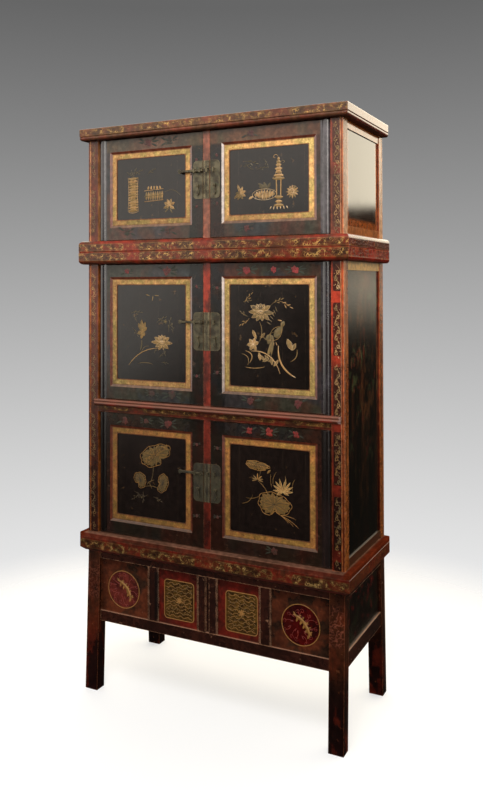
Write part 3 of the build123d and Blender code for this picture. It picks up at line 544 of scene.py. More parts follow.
gold_paint = brush_paint(
    "Gold brush paint",
    (
        (0.0, shade(44, 32, 24)),
        (1.0, shade(234, 214, 184)),
        (0.25, shade(98, 84, 52)),
        (0.45, shade(140, 110, 62)),
        (0.65, shade(182, 138, 84)),
        (0.85, shade(214, 178, 130)),
    ),
    0.1,
    0.38,
)
colour_paint = brush_paint(
    "Red and green brush paint",
    (
        (0.0, shade(24, 28, 20)),
        (1.0, shade(176, 84, 74)),
        (0.22, shade(38, 46, 30)),
        (0.34, shade(58, 36, 29)),
        (0.55, shade(92, 34, 32)),
        (0.75, shade(140, 36, 38)),
    ),
    0.0,
    0.35,
)

stand_gold = Drawing()
stand_colours = Drawing()
luck = random.Random(7)
ring_radius = 0.0645
for ring_x in ring_spots:
    circle = []
    for step in range(41):
        turn = math.tau * step / 40
        circle.append(
            (ring_x + ring_radius * math.cos(turn), apron_level + ring_radius * math.sin(turn))
        )
    stand_gold.stroke(circle, 0.0028, 0.62, taper=1.0)
    spine = bent((ring_x - 0.026, apron_level + 0.030), (ring_x + 0.030, apron_level - 0.032), 0.16, 12)
    stand_gold.stroke(spine, 0.0100, 0.56)
    for step in range(1, 11):
        lean = -50 if step % 2 else -130
        stand_gold.petal(
            *spine[step], lean + 40 * luck.random(), 0.018, 0.0080, 0.52 + 0.18 * luck.random()
        )
        stand_gold.petal(
            *spine[step], lean + 160 + 40 * luck.random(), 0.015, 0.0064, 0.46 + 0.18 * luck.random()
        )
    for step in range(12):
        turn = math.tau * (step + 0.5 * luck.random()) / 12
        near = 0.014 + 0.020 * luck.random()
        away = 0.044 + 0.016 * luck.random()
        start = (ring_x + near * math.cos(turn), apron_level + near * math.sin(turn))
        tip = (ring_x + away * math.cos(turn + 0.2), apron_level + away * math.sin(turn + 0.2))
        stand_colours.stroke(
            bent(start, tip, 0.6 * luck.random() - 0.3), 0.0014, 0.76 + 0.1 * luck.random()
        )
        curl_path = curl(*tip, 0.008, math.degrees(turn) + 90, 1.2 if step % 2 else -1.2, 10)
        stand_colours.stroke(curl_path, 0.0013, 0.78)
        stand_colours.petal(*start, math.degrees(turn) + 20, 0.014, 0.0030, 0.70)
for square_x in square_spots:
    corners = []
    for start, u, v in (
        (0, 0.046, 0.054), (90, -0.046, 0.054), (180, -0.046, -0.054), (270, 0.046, -0.054)
    ):
        for step in range(5):
            angle = math.radians(start + step * 22.5)
            corners.append(
                (square_x + u + 0.0115 * math.cos(angle), apron_level + v + 0.0115 * math.sin(angle))
            )
    corners.append(corners[0])
    stand_gold.stroke(corners, 0.0026, 0.68, taper=1.0)
    for row in range(10):
        line = []
        phase = math.tau * luck.random()
        for step in range(29):
            u = -0.050 + 0.100 * step / 28
            ripple = 0.0032 * math.sin(math.tau * u / 0.0290 + phase) + 0.0012 * math.sin(
                math.tau * u / 0.011 + row
            )
            line.append((square_x + u, apron_level - 0.0545 + 0.0121 * row + ripple))
        stand_gold.stroke(line, 0.0017, 0.50 + 0.18 * luck.random(), taper=0.8)
        for step in range(6):
            u = square_x - 0.043 + 0.017 * step + 0.006 * luck.random()
            v = apron_level - 0.0485 + 0.0121 * row + 0.003 * luck.random()
            if row < 9:
                stand_gold.petal(u, v, 360 * luck.random(), 0.009, 0.0030, 0.10 + 0.52 * luck.random())
    for turn in range(0, 360, 45):
        stand_gold.petal(square_x, apron_level, turn, 0.013, 0.0050, 0.66)
apron_face = -0.1995
lay_paint("apron_gold", "stand", gold_paint, [(stand_gold, on_front(apron_face))])
lay_paint("apron_colours", "stand", colour_paint, [(stand_colours, on_front(apron_face))])


# ---------------------------------------------------------------- Moulded frames
# Long moulded members, mitred at the front corners. Red lacquer is divided by black panels with
# rounded ends, and a gold scroll runs through them; it is painted on, so it is all colour.
takes = {"Along": 0.0, "Across": 0.0, "Pitch": 0.2, "Length": 0.14, "Half width": 0.012, "Round": 0.006}
cartouche_row, entry, outcome = new_group("Row of black panels", takes, ("Field", "Rim"))
share = reckon(cartouche_row, "DIVIDE", entry.outputs["Along"], entry.outputs["Pitch"])
share = reckon(cartouche_row, "SUBTRACT", reckon(cartouche_row, "FRACT", share), 0.5)
along = reckon(cartouche_row, "ABSOLUTE", times(cartouche_row, share, entry.outputs["Pitch"]))
end = times(cartouche_row, entry.outputs["Length"], 0.5)
end = reckon(cartouche_row, "SUBTRACT", end, entry.outputs["Round"])
out_x = reckon(cartouche_row, "MAXIMUM", reckon(cartouche_row, "SUBTRACT", along, end), 0.0)
side = reckon(cartouche_row, "SUBTRACT", entry.outputs["Half width"], entry.outputs["Round"])
out_y = reckon(
    cartouche_row, "SUBTRACT", reckon(cartouche_row, "ABSOLUTE", entry.outputs["Across"]), side
)
out_y = reckon(cartouche_row, "MAXIMUM", out_y, 0.0)
far = reckon(cartouche_row, "MULTIPLY_ADD", out_x, out_x, times(cartouche_row, out_y, out_y))
edge = reckon(cartouche_row, "SUBTRACT", reckon(cartouche_row, "SQRT", far), entry.outputs["Round"])
cartouche_row.links.new(spread(cartouche_row, edge, 0.0006, -0.0006), outcome.inputs["Field"])
rim = spread(cartouche_row, reckon(cartouche_row, "ABSOLUTE", edge), 0.0022, 0.0008)
cartouche_row.links.new(rim, outcome.inputs["Rim"])

takes = {"Along": 0.0, "Across": 0.0, "Pitch": 0.05, "Reach": 0.011, "Line": 0.0016, "Fineness": 1.5}
running_scroll, entry, outcome = new_group("Running scroll", takes, ("Gold", "Bright"))
take = entry.outputs
flat = add(running_scroll, "ShaderNodeCombineXYZ", {0: take["Along"], 1: take["Across"]}).outputs[0]
hand_shake = add(running_scroll, "ShaderNodeTexNoise", {"Vector": flat, "Scale": 42.0, "Detail": 1.0})
hand_shake = add(
    running_scroll,
    "ShaderNodeVectorMath",
    {0: hand_shake.outputs["Color"], 1: (0.5, 0.5, 0.5)},
    operation="SUBTRACT",
)
hand_shake = add(
    running_scroll,
    "ShaderNodeVectorMath",
    {0: hand_shake.outputs[0], 1: (0.009, 0.009, 0.0)},
    operation="MULTIPLY",
)
drawn = add(
    running_scroll, "ShaderNodeVectorMath", {0: flat, 1: hand_shake.outputs[0]}, operation="ADD"
).outputs[0]
moved = along_axes(running_scroll, drawn)
turn = times(running_scroll, reckon(running_scroll, "DIVIDE", moved["X"], take["Pitch"]), math.tau)
wave = times(running_scroll, reckon(running_scroll, "SINE", turn), take["Reach"])
wave = times(running_scroll, wave, 0.6)
stem = reckon(running_scroll, "ABSOLUTE", reckon(running_scroll, "SUBTRACT", moved["Y"], wave))
stem = spread(running_scroll, stem, times(running_scroll, take["Line"], 1.3), 0.0004)
scale = reckon(running_scroll, "DIVIDE", take["Fineness"], take["Reach"])
curls = add(
    running_scroll, "ShaderNodeTexNoise", {"Vector": drawn, "Scale": scale, "Detail": 0.5}
).outputs[0]
curls = reckon(running_scroll, "ABSOLUTE", reckon(running_scroll, "SUBTRACT", curls, 0.5))
curls = spread(running_scroll, curls, 0.070, 0.025)
scale = times(running_scroll, scale, 0.8)
buds = add(running_scroll, "ShaderNodeTexVoronoi", {"Vector": drawn, "Scale": scale}, feature="F1")
buds = spread(running_scroll, buds.outputs["Distance"], 0.30, 0.18)
inside = reckon(running_scroll, "ABSOLUTE", take["Across"])
inside = spread(running_scroll, inside, take["Reach"], times(running_scroll, take["Reach"], 0.86))
gold = reckon(running_scroll, "MAXIMUM", reckon(running_scroll, "MAXIMUM", stem, curls), buds)
gold = times(running_scroll, gold, inside)
kept = add(
    running_scroll, "ShaderNodeTexNoise", {"Vector": flat, "Scale": 55.0, "Detail": 3.0}
).outputs[0]
gold = times(running_scroll, gold, spread(running_scroll, kept, 0.38, 0.60, 0.15, 0.95))
running_scroll.links.new(gold, outcome.inputs["Gold"])
running_scroll.links.new(spread(running_scroll, kept, 0.46, 0.66), outcome.inputs["Bright"])


def run_along(tree, place):
    """Distance along a moulding: across the front, and from front to back at the sides."""
    parts = along_axes(tree, place)
    facing = reckon(tree, "ABSOLUTE", facing_of(tree)["X"])
    at_side = reckon(tree, "GREATER_THAN", facing, 0.6)
    gap = reckon(tree, "SUBTRACT", parts["Y"], parts["X"])
    return reckon(tree, "MULTIPLY_ADD", gap, at_side, parts["X"]), parts, at_side


def scrolled_moulding(name, level, half_band, ground, gold, worn, side=(128, 36, 25), field=0.8):
    """Red moulding with black panels and a gold scroll on the band round one level."""
    finish, tree, shader = new_finish(name)
    place = place_of(tree)
    along, parts, at_side = run_along(tree, place)
    above = reckon(tree, "SUBTRACT", parts["Z"], level)
    row = add(tree, "ShaderNodeGroup", node_tree=cartouche_row)
    scroll = add(tree, "ShaderNodeGroup", node_tree=running_scroll)
    for made in (row, scroll):
        tree.links.new(along, made.inputs["Along"])
        tree.links.new(above, made.inputs["Across"])
    row.inputs["Pitch"].default_value = 0.2825
    row.inputs["Length"].default_value = 0.215
    row.inputs["Half width"].default_value = half_band
    row.inputs["Round"].default_value = half_band * 0.8
    scroll.inputs["Pitch"].default_value = half_band * 3.8
    scroll.inputs["Reach"].default_value = half_band * 0.92
    scroll.inputs["Fineness"].default_value = 1.5 if half_band < 0.0140 else 2.4
    cloud = spread(tree, mottle(tree, place, 13.0, 4.0), 0.42, 0.60)
    colour = layered(tree, cloud, ground[0], ground[1])
    colour = layered(tree, times(tree, at_side, 0.7), colour, shade(*side))
    black = reckon(tree, "MULTIPLY_ADD", at_side, -0.5, 1.0)
    black = times(tree, times(tree, row.outputs["Field"], field), black)
    flaked = spread(tree, mottle(tree, place, 34.0, 4.0, (1.0, 1.0, 2.0)), 0.44, 0.58, 0.35, 1.0)
    black = times(tree, black, flaked)
    colour = layered(tree, black, colour, layered(tree, cloud, shade(58, 40, 24), shade(46, 28, 19)))
    gilt = layered(tree, scroll.outputs["Bright"], gold[0], gold[1])
    shown = reckon(tree, "MULTIPLY_ADD", row.outputs["Field"], 0.5, 0.38)
    shown = times(tree, shown, scroll.outputs["Gold"])
    shown = times(tree, shown, reckon(tree, "MULTIPLY_ADD", at_side, -0.75, 1.0))
    shown = reckon(tree, "MAXIMUM", shown, times(tree, row.outputs["Rim"], 0.3))
    colour = layered(tree, shown, colour, gilt)
    age = aged(tree, colour, shade(30, 15, 10), worn, Blotch=0.3, Wear=0.6, Edge=0.003, Smooth=0.07)
    coat(tree, shader, age, shine=0.3)
    dull = times(tree, age.outputs["Roughness"], reckon(tree, "MULTIPLY_ADD", at_side, -0.6, 1.0))
    facing = facing_of(tree)
    unpolished = spread(tree, facing["Z"], -0.4, -0.85, 0.0, 0.7)
    dull = reckon(tree, "MAXIMUM", dull, unpolished)
    tree.links.new(dull, shader.inputs["Roughness"])
    return finish, tree, shader


red_ground = (shade(124, 42, 27), shade(84, 46, 29))
bright_gold = (shade(126, 92, 48), shade(204, 158, 88))
waist_finish, tree, shader = scrolled_moulding(
    "Stand frame lacquer",
    0.514,
    0.0150,
    (shade(118, 40, 28), shade(82, 44, 30)),
    (shade(126, 92, 48), shade(206, 168, 104)),
    shade(140, 86, 58),
    side=(116, 42, 20),
)
coat_node("stand_frame", waist_finish)


# ---------------------------------------------------------------- Lower cabinet: base, rail and head
# The cabinet stands on a thin base frame, flush with the stand. The rail between its tiers
# carries a nosing of two beads, and the head frame is rounded below.
base_finish, tree, shader = new_finish("Base frame lacquer")
place = place_of(tree)
cloud = spread(tree, mottle(tree, place, 13.0, 4.0, (0.4, 0.4, 1.0)), 0.42, 0.60)
colour = layered(tree, cloud, shade(112, 52, 38), shade(82, 52, 38))
aside = along_axes(tree, place)["X"]
ledge = spread(tree, reckon(tree, "ABSOLUTE", aside), 0.482, 0.490)
colour = layered(tree, ledge, colour, shade(116, 46, 24))
facing = facing_of(tree)
lit_edge = times(tree, spread(tree, facing["Z"], 0.35, 0.7), spread(tree, ledge, 0.0, 1.0, 0.8, 0.0))
colour = layered(tree, lit_edge, colour, shade(146, 104, 84))
age = aged(
    tree, colour, shade(36, 18, 13), shade(140, 88, 58), Blotch=0.4, Wear=0.7, Edge=0.003, Smooth=0.2
)
coat(tree, shader, age, shine=0.0)
coat_node("lower_base_frame", base_finish)
rail_band, tree, shader = scrolled_moulding(
    "Nosing lacquer",
    1.0025,
    0.0075,
    (shade(104, 40, 28), shade(70, 38, 26)),
    bright_gold,
    shade(146, 90, 66),
    field=0.6,
)
high = along_axes(tree, place_of(tree))["Z"]
lower_part = shader.inputs["Base Color"].links[0].from_socket
cloud = spread(tree, mottle(tree, place_of(tree), 11.0, 4.0), 0.42, 0.58)
red_bead = layered(tree, cloud, shade(108, 38, 28), shade(70, 38, 28))
bead = layered(tree, spread(tree, high, 1.0085, 1.0105, 0.0, 0.75), lower_part, red_bead)
# Painted highlight: a pale line along the top of the upper bead.
bead = layered(tree, spread(tree, high, 1.0155, 1.0180, 0.0, 0.6), bead, shade(128, 86, 70))
tree.links.new(bead, shader.inputs["Base Color"])
coat_node("middle_rail", rail_band)
head_finish, tree, shader = scrolled_moulding(
    "Head frame lacquer", 1.5385, 0.0135, red_ground, bright_gold, shade(170, 84, 52), side=(152, 36, 22)
)
coat_node("head_frame", head_finish)


# ---------------------------------------------------------------- Corner posts
# Square posts, tenoned into the frames. The front faces have narrow black panels with a gold
# scroll between patches of bright red; the side faces are plain orange-brown.
post_x = 0.4625
post_pitch = 0.2


def post_lacquer(name, side_colour):
    """Post finish: the right-hand posts are brighter than the left-hand ones."""
    finish, tree, shader = new_finish(name)
    place = place_of(tree)
    parts = along_axes(tree, place)
    facing = facing_of(tree)
    at_side = reckon(tree, "GREATER_THAN", reckon(tree, "ABSOLUTE", facing["X"]), 0.7)
    at_front = reckon(tree, "GREATER_THAN", times(tree, facing["Y"], -1.0), 0.7)
    on_right = reckon(tree, "GREATER_THAN", parts["X"], 0.0)
    across = reckon(tree, "SUBTRACT", reckon(tree, "ABSOLUTE", parts["X"]), post_x)
    row = add(
        tree,
        "ShaderNodeGroup",
        {
            "Along": parts["Z"],
            "Across": across,
            "Pitch": post_pitch,
            "Length": 0.165,
            "Half width": 0.0145,
        },
        node_tree=cartouche_row,
    )
    cloud = spread(tree, mottle(tree, place, 13.0, 4.0, (1.0, 1.0, 0.35)), 0.38, 0.62)
    bright = layered(tree, cloud, shade(176, 58, 36), shade(116, 44, 28))
    softer = layered(tree, cloud, shade(144, 62, 44), shade(108, 54, 40))
    in_chest = spread(tree, parts["Z"], 1.55, 1.60)
    bright = layered(tree, in_chest, bright, softer)
    quiet = layered(tree, cloud, shade(114, 50, 35), shade(84, 48, 35))
    front = layered(tree, on_right, quiet, bright)
    right_panel = layered(tree, in_chest, shade(48, 28, 20), shade(74, 44, 33))
    dark = layered(tree, on_right, shade(90, 46, 34), right_panel)
    front = layered(tree, times(tree, row.outputs["Field"], 0.9), front, dark)
    # Painted highlight: an orange line down the outer edge of the right-hand posts.
    edge = spread(tree, across, 0.0165, 0.0190)
    front = layered(tree, times(tree, edge, on_right), front, shade(196, 108, 60))
    # Painted shade: the post fronts darken towards the floor.
    painted_low_shade = spread(tree, parts["Z"], 0.70, 1.15, 0.30, 1.0)
    front = layered(tree, 1.0, front, painted_low_shade, "MULTIPLY")
    colour = layered(tree, at_front, shade(48, 26, 18), front)
    dim = layered(tree, 1.0, side_colour, shade(186, 172, 160), "MULTIPLY")
    colour = layered(tree, at_side, colour, layered(tree, cloud, side_colour, dim))
    age = aged(tree, colour, shade(34, 16, 11), shade(206, 118, 66), Blotch=0.3, Wear=0.6, Edge=0.003)
    coat(tree, shader, age, shine=0.35)
    return finish


lower_post_finish = post_lacquer("Lower post lacquer", shade(168, 96, 42))
coat_node("lower_posts", lower_post_finish)


def post_scroll(drawing, across, low, high, hand, strength, gaps):
    """Vine with curls and leaves up a post's face, left out where the red patches are."""
    pitch = 0.046
    steps = int((high - low) / 0.006)
    path = []
    for step in range(steps + 1):
        v = low + (high - low) * step / steps
        share = (v / post_pitch) % 1.0
        if gaps and min(share, 1.0 - share) < 0.085:
            if len(path) > 3:
                drawing.stroke(path, 0.0016, 0.56 * strength)
            path = []
            continue
        path.append((across + hand * 0.0075 * math.sin(math.tau * v / pitch), v))
    if len(path) > 3:
        drawing.stroke(path, 0.0016, 0.56 * strength)
    v = low + 0.010
    side = 1
    while v < high - 0.010:
        share = (v / post_pitch) % 1.0
        if not gaps or 0.10 < share < 0.90:
            u = across - hand * side * 0.0035
            tone = (0.36 + 0.50 * luck.random() ** 1.6) * strength
            drawing.stroke(curl(u, v, 0.0078, 40 * side, side * hand * 1.15), 0.0016, tone)
            drawing.petal(u, v + 0.004, 80 * side + 30 * luck.random(), 0.010, 0.0036, tone)
            drawing.petal(u + hand * side * 0.004, v - 0.008, -60 * side, 0.009, 0.0032, tone * 0.85)
            for dot in range(4):
                drop = (across + 0.024 * (luck.random() - 0.5), v + 0.018 * (luck.random() - 0.5))
                drawing.dab(*drop, 180 * luck.random(), 0.0042, 0.0024, tone * 0.9)
        v += pitch / 2
        side = -side


lower_gold = Drawing()
post_scroll(lower_gold, post_x, 0.566, 0.980, 1, 0.62, True)
post_scroll(lower_gold, post_x, 1.030, 1.500, 1, 1.0, True)
post_scroll(lower_gold, -post_x, 1.300, 1.500, -1, 0.85, False)
post_scroll(lower_gold, -post_x, 0.566, 1.290, -1, 0.55, True)
post_face = -0.2075
lay_paint(
    "lower_post_gold", "lower_cabinet", gold_paint, [(lower_gold, on_front(post_face))]
)


# ---------------------------------------------------------------- Lower cabinet: sides and inside
# Side boards in grooved rails: the top rail is a clear ochre, and little but red and green
# patches is left of the flowers on the near-black board. The boards inside are bare softwood.
side_rail_finish, tree, shader = new_finish("Side rail lacquer")
place = place_of(tree)
parts = along_axes(tree, place)
top_one = spread(tree, parts["Z"], 1.40, 1.44)
colour = layered(tree, top_one, shade(64, 34, 18), shade(196, 150, 76))
age = aged(tree, colour, shade(60, 36, 20), shade(200, 146, 84), Blotch=0.25, Wear=0.4, Smooth=0.25)
coat(tree, shader, age, shine=0.4)
coat_node("lower_side_rails", side_rail_finish)

side_board_finish, tree, shader = new_finish("Side board lacquer")
place = place_of(tree)
streak = spread(tree, mottle(tree, place, 30.0, 3.0, (1.0, 1.0, 0.08)), 0.48, 0.72)
bloom = spread(tree, mottle(tree, place, 9.0, 5.0), 0.55, 0.70)
colour = layered(tree, times(tree, streak, 0.8), shade(11, 5, 3), shade(66, 33, 16))
leafy = spread(tree, mottle(tree, place, 26.0, 3.0, (1.0, 1.0, 0.5)), 0.50, 0.62)
leafy = times(tree, leafy, spread(tree, mottle(tree, place, 5.0, 2.0), 0.44, 0.58))
colour = layered(tree, times(tree, leafy, 0.7), colour, shade(78, 46, 22))
colour = layered(tree, times(tree, bloom, 0.6), colour, shade(72, 46, 26))
bouquet = spread(tree, mottle(tree, place, 6.0, 1.0), 0.50, 0.60)
leaves = spread(tree, mottle(tree, place, 34.0, 2.0), 0.54, 0.60, 0.0, 0.7)
colour = layered(tree, times(tree, bouquet, leaves), colour, shade(52, 56, 34))
petals = spread(tree, mottle(tree, place, 41.0, 1.0, (1.0, 1.0, 0.8)), 0.60, 0.65, 0.0, 0.6)
colour = layered(tree, times(tree, bouquet, petals), colour, shade(84, 36, 24))
parts = along_axes(tree, place)
# Painted shade and light: the board darkens strongly towards the floor and lightens towards its top.
colour = layered(tree, 1.0, colour, spread(tree, parts["Z"], 0.62, 1.20, 0.12, 1.7), "MULTIPLY")
age = aged(tree, colour, shade(10, 6, 4), shade(100, 56, 28), Blotch=0.4, Wear=0.3, Smooth=0.08)
coat(tree, shader, age, 0.0002, 0.3, shine=0.5)
coat_node("lower_side_panels", side_board_finish)

board_finish, tree, shader = new_finish("Bare softwood")
place = place_of(tree)
grain = add(
    tree,
    "ShaderNodeTexWave",
    {"Vector": place, "Scale": 6.0, "Distortion": 7.0, "Detail": 3.0, "Detail Scale": 1.4},
    bands_direction="Y",
)
colour = layered(tree, grain.outputs["Fac"], shade(104, 74, 48), shade(74, 50, 33))
age = aged(tree, colour, shade(50, 34, 24), shade(140, 108, 76), Blotch=0.4, Wear=0.5, Smooth=0.55)
coat(tree, shader, age)
for board in ("lower_floor", "shelf", "lower_back_panel", "lower_top_board"):
    coat_node(board, board_finish)


# ---------------------------------------------------------------- Doors
# Framed doors with a round pivot stile. Frames are slate-black lacquer with red-brown bevels; the
# panels have a gilt border round a sunk black field, faintly lined where its boards meet.
door_finish, tree, shader = new_finish("Door frame lacquer")
place = place_of(tree)
parts = along_axes(tree, place)
aside = reckon(tree, "ABSOLUTE", parts["X"])
on_stile = spread(tree, aside, 0.4060, 0.4075)
cloud = spread(tree, mottle(tree, place, 9.0, 4.0, (1.0, 1.0, 0.5)), 0.40, 0.62)
frame_colour = layered(tree, cloud, shade(54, 52, 42), shade(74, 42, 32))
slate = spread(tree, mottle(tree, place, 7.0, 3.0), 0.50, 0.60)
frame_colour = layered(tree, times(tree, slate, 0.7), frame_colour, shade(46, 50, 54))
cloud = spread(tree, mottle(tree, place, 16.0, 3.0, (1.0, 1.0, 0.3)), 0.4, 0.6)
stile_colour = layered(tree, cloud, shade(56, 52, 57), shade(40, 33, 34))
# Painted light and shade: the round stiles are lighter on the top tier, where highlights fall, and darker
# on the lower tier.
top_stile = layered(tree, cloud, shade(82, 74, 78), shade(60, 52, 54))
stile_colour = layered(tree, spread(tree, parts["Z"], 1.50, 1.60), stile_colour, top_stile)
low_stile = spread(tree, parts["Z"], 1.06, 0.94)
stile_colour = layered(
    tree, low_stile, stile_colour, layered(tree, cloud, shade(40, 28, 27), shade(24, 16, 15))
)
near_lock = spread(tree, aside, 0.072, 0.062, 1.0, 0.32)
near_lock = times(tree, near_lock, spread(tree, parts["Z"], 0.98, 1.04, 0.62, 1.0))
frame_colour = layered(tree, 1.0, frame_colour, near_lock, "MULTIPLY")
# The lower tier's frames are darker and browner: painted shade together with a browner colour.
low_frame = layered(tree, cloud, shade(40, 30, 22), shade(56, 28, 20))
frame_colour = layered(tree, spread(tree, parts["Z"], 1.0, 0.9, 0.0, 0.7), frame_colour, low_frame)
top_rail = spread(tree, parts["Z"], 1.905, 1.915, 0.0, 0.6)
frame_colour = layered(
    tree, top_rail, frame_colour, layered(tree, cloud, shade(88, 72, 50), shade(110, 70, 46))
)
lit_side = spread(tree, parts["X"], -0.1, 0.1, 0.48, 1.0)
stile_colour = layered(tree, 1.0, stile_colour, lit_side, "MULTIPLY")
colour = layered(tree, on_stile, frame_colour, stile_colour)
facing = facing_of(tree)
tilted = spread(tree, times(tree, facing["Y"], -1.0), 0.97, 0.93)
tilted = times(tree, tilted, reckon(tree, "SUBTRACT", 1.0, on_stile))
colour = layered(tree, times(tree, tilted, 0.85), colour, shade(112, 52, 34))
# Painted highlight: bevels that face up are paler, warm brown on the lower tier and pale grey above it.
sill = times(tree, tilted, spread(tree, facing["Z"], 0.25, 0.35, 0.0, 0.7))
sill_colour = layered(tree, spread(tree, parts["Z"], 0.95, 1.05), shade(96, 68, 42), shade(112, 90, 70))
colour = layered(tree, sill, colour, sill_colour)
# Painted highlight: a pale grey line on the right-facing bevels of the right-hand doors on the two upper
# tiers.
painted_bevel_glint = times(tree, tilted, spread(tree, facing["X"], 0.25, 0.35, 0.0, 0.75))
painted_bevel_glint = times(tree, painted_bevel_glint, reckon(tree, "GREATER_THAN", parts["X"], 0.0))
painted_bevel_glint = times(tree, painted_bevel_glint, reckon(tree, "GREATER_THAN", parts["Z"], 1.0))
colour = layered(tree, painted_bevel_glint, colour, shade(184, 165, 152))
age = aged(
    tree, colour, shade(26, 22, 19), shade(124, 92, 72), Blotch=0.3, Wear=0.45, Edge=0.003, Smooth=0.10
)
coat(tree, shader, age, 0.0003, 0.4)
sheen = times(tree, tilted, spread(tree, parts["Z"], 0.95, 1.05, 0.35, 1.0))
polished = reckon(tree, "MAXIMUM", times(tree, on_stile, 0.7), sheen)
tree.links.new(polished, shader.inputs["Coat Weight"])
shader.inputs["Coat Roughness"].default_value = 0.16

fields = {"lower": (0.770, 0.142), "middle": (1.2715, 0.1665), "top": (1.7765, 0.1075)}
field_x = 0.2251
field_half = 0.140
panel_finish, tree, shader = new_finish("Door panel gilt and black")
place = place_of(tree)
parts = along_axes(tree, place)
above_lower = reckon(tree, "GREATER_THAN", parts["Z"], 1.0)
above_middle = reckon(tree, "GREATER_THAN", parts["Z"], 1.55)
centre = spread(tree, above_lower, 0.0, 1.0, fields["lower"][0], fields["middle"][0])
centre = reckon(tree, "MULTIPLY_ADD", above_middle, fields["top"][0] - fields["middle"][0], centre)
reach = spread(tree, above_lower, 0.0, 1.0, fields["lower"][1], fields["middle"][1])
reach = reckon(tree, "MULTIPLY_ADD", above_middle, fields["top"][1] - fields["middle"][1], reach)
across = reckon(tree, "SUBTRACT", reckon(tree, "ABSOLUTE", parts["X"]), field_x)
across = reckon(tree, "SUBTRACT", reckon(tree, "ABSOLUTE", across), field_half)
up = reckon(tree, "ABSOLUTE", reckon(tree, "SUBTRACT", parts["Z"], centre))
from_field = reckon(tree, "MAXIMUM", across, reckon(tree, "SUBTRACT", up, reach))
sunk = spread(tree, parts["Y"], -0.1975, -0.1968)
patch = mottle(tree, place, 17.0, 3.0)
gilt = layered(tree, spread(tree, patch, 0.40, 0.60), shade(204, 152, 92), shade(178, 150, 84))
speckle = mottle(tree, place, 170.0, 2.0)
gilt = layered(tree, spread(tree, speckle, 0.52, 0.66, 0.0, 0.6), gilt, shade(230, 192, 124))
gilt = layered(tree, spread(tree, speckle, 0.40, 0.30, 0.0, 0.75), gilt, shade(110, 62, 34))
# Painted light and shade: the gilt is lighter to the right and darker to the left; on the top tier its
# bottom strip is darker and its right end lighter.
painted_gilt_light = spread(tree, parts["X"], -0.42, 0.40, 0.76, 1.14)
bottom_strip = reckon(tree, "ADD", reckon(tree, "SUBTRACT", parts["Z"], centre), reach)
bottom_strip = times(tree, spread(tree, bottom_strip, 0.001, -0.001), above_middle)
painted_gilt_light = times(tree, painted_gilt_light, spread(tree, bottom_strip, 0.0, 1.0, 1.0, 0.72))
brighter = times(tree, spread(tree, parts["X"], 0.30, 0.38, 0.0, 0.22), above_middle)
painted_gilt_light = reckon(tree, "MULTIPLY_ADD", painted_gilt_light, brighter, painted_gilt_light)
gilt = layered(tree, 1.0, gilt, painted_gilt_light, "MULTIPLY")
warmer = layered(tree, above_lower, shade(255, 228, 196), shade(255, 255, 255))
gilt = layered(tree, 1.0, gilt, warmer, "MULTIPLY")
outer_line = spread(tree, from_field, 0.0165, 0.0190, 0.0, 0.6)
inner_line = spread(tree, from_field, 0.0035, 0.0015, 0.0, 0.85)
gilt = layered(tree, reckon(tree, "MAXIMUM", outer_line, inner_line), gilt, shade(104, 38, 26))
seam = reckon(tree, "FRACT", reckon(tree, "DIVIDE", parts["X"], 0.078))
seam = reckon(tree, "ABSOLUTE", reckon(tree, "SUBTRACT", seam, 0.5))
seam = spread(tree, seam, 0.012, 0.004, 0.0, 0.3)
low_black = spread(tree, parts["Z"], 0.95, 1.05)
black = layered(tree, low_black, shade(28, 19, 16), shade(20, 13, 10))
black = layered(tree, seam, black, shade(70, 58, 44))
# Painted shadow: a dark line round the inside edge of the sunk black field.
black = layered(tree, spread(tree, from_field, -0.004, -0.001, 0.0, 0.7), black, shade(12, 7, 5))
colour = layered(tree, sunk, gilt, black)
age = aged(
    tree, colour, shade(40, 24, 15), shade(176, 130, 74), Blotch=0.16, Wear=0.25, Edge=0.002, Smooth=0.12
)
coat(tree, shader, age, 0.0002, 0.3, shine=0.55)
tree.links.new(spread(tree, sunk, 0.0, 1.0, 0.45, 0.0), shader.inputs["Metallic"])
dull = spread(tree, sunk, 0.0, 1.0, 0.24, 0.0)
tree.links.new(reckon(tree, "ADD", age.outputs["Roughness"], dull), shader.inputs["Roughness"])

centre_finish, tree, shader = new_finish("Centre post red")
place = place_of(tree)
cloud = spread(tree, mottle(tree, place, 15.0, 4.0, (1.0, 1.0, 0.5)), 0.44, 0.58)
colour = layered(tree, cloud, shade(168, 58, 40), shade(92, 38, 29))
high = along_axes(tree, place)["Z"]
# The post is a paler red on the top chest.
chest_tier_red = layered(tree, cloud, shade(146, 84, 64), shade(122, 78, 62))
colour = layered(tree, spread(tree, high, 1.50, 1.60), colour, chest_tier_red)
# Painted shade: the post darkens towards the floor.
colour = layered(tree, 1.0, colour, spread(tree, high, 0.70, 1.35, 0.45, 0.92), "MULTIPLY")
age = aged(tree, colour, shade(44, 22, 17), shade(176, 96, 66), Blotch=0.4, Wear=0.6, Edge=0.003)
coat(tree, shader, age)

for tier in ("lower", "middle", "top"):
    coat_node(f"{tier}_centre_post", centre_finish)
    for hand in ("left", "right"):
        coat_node(f"{tier}_{hand}_door_frame", door_finish)
        coat_node(f"{tier}_{hand}_door_panel", panel_finish)


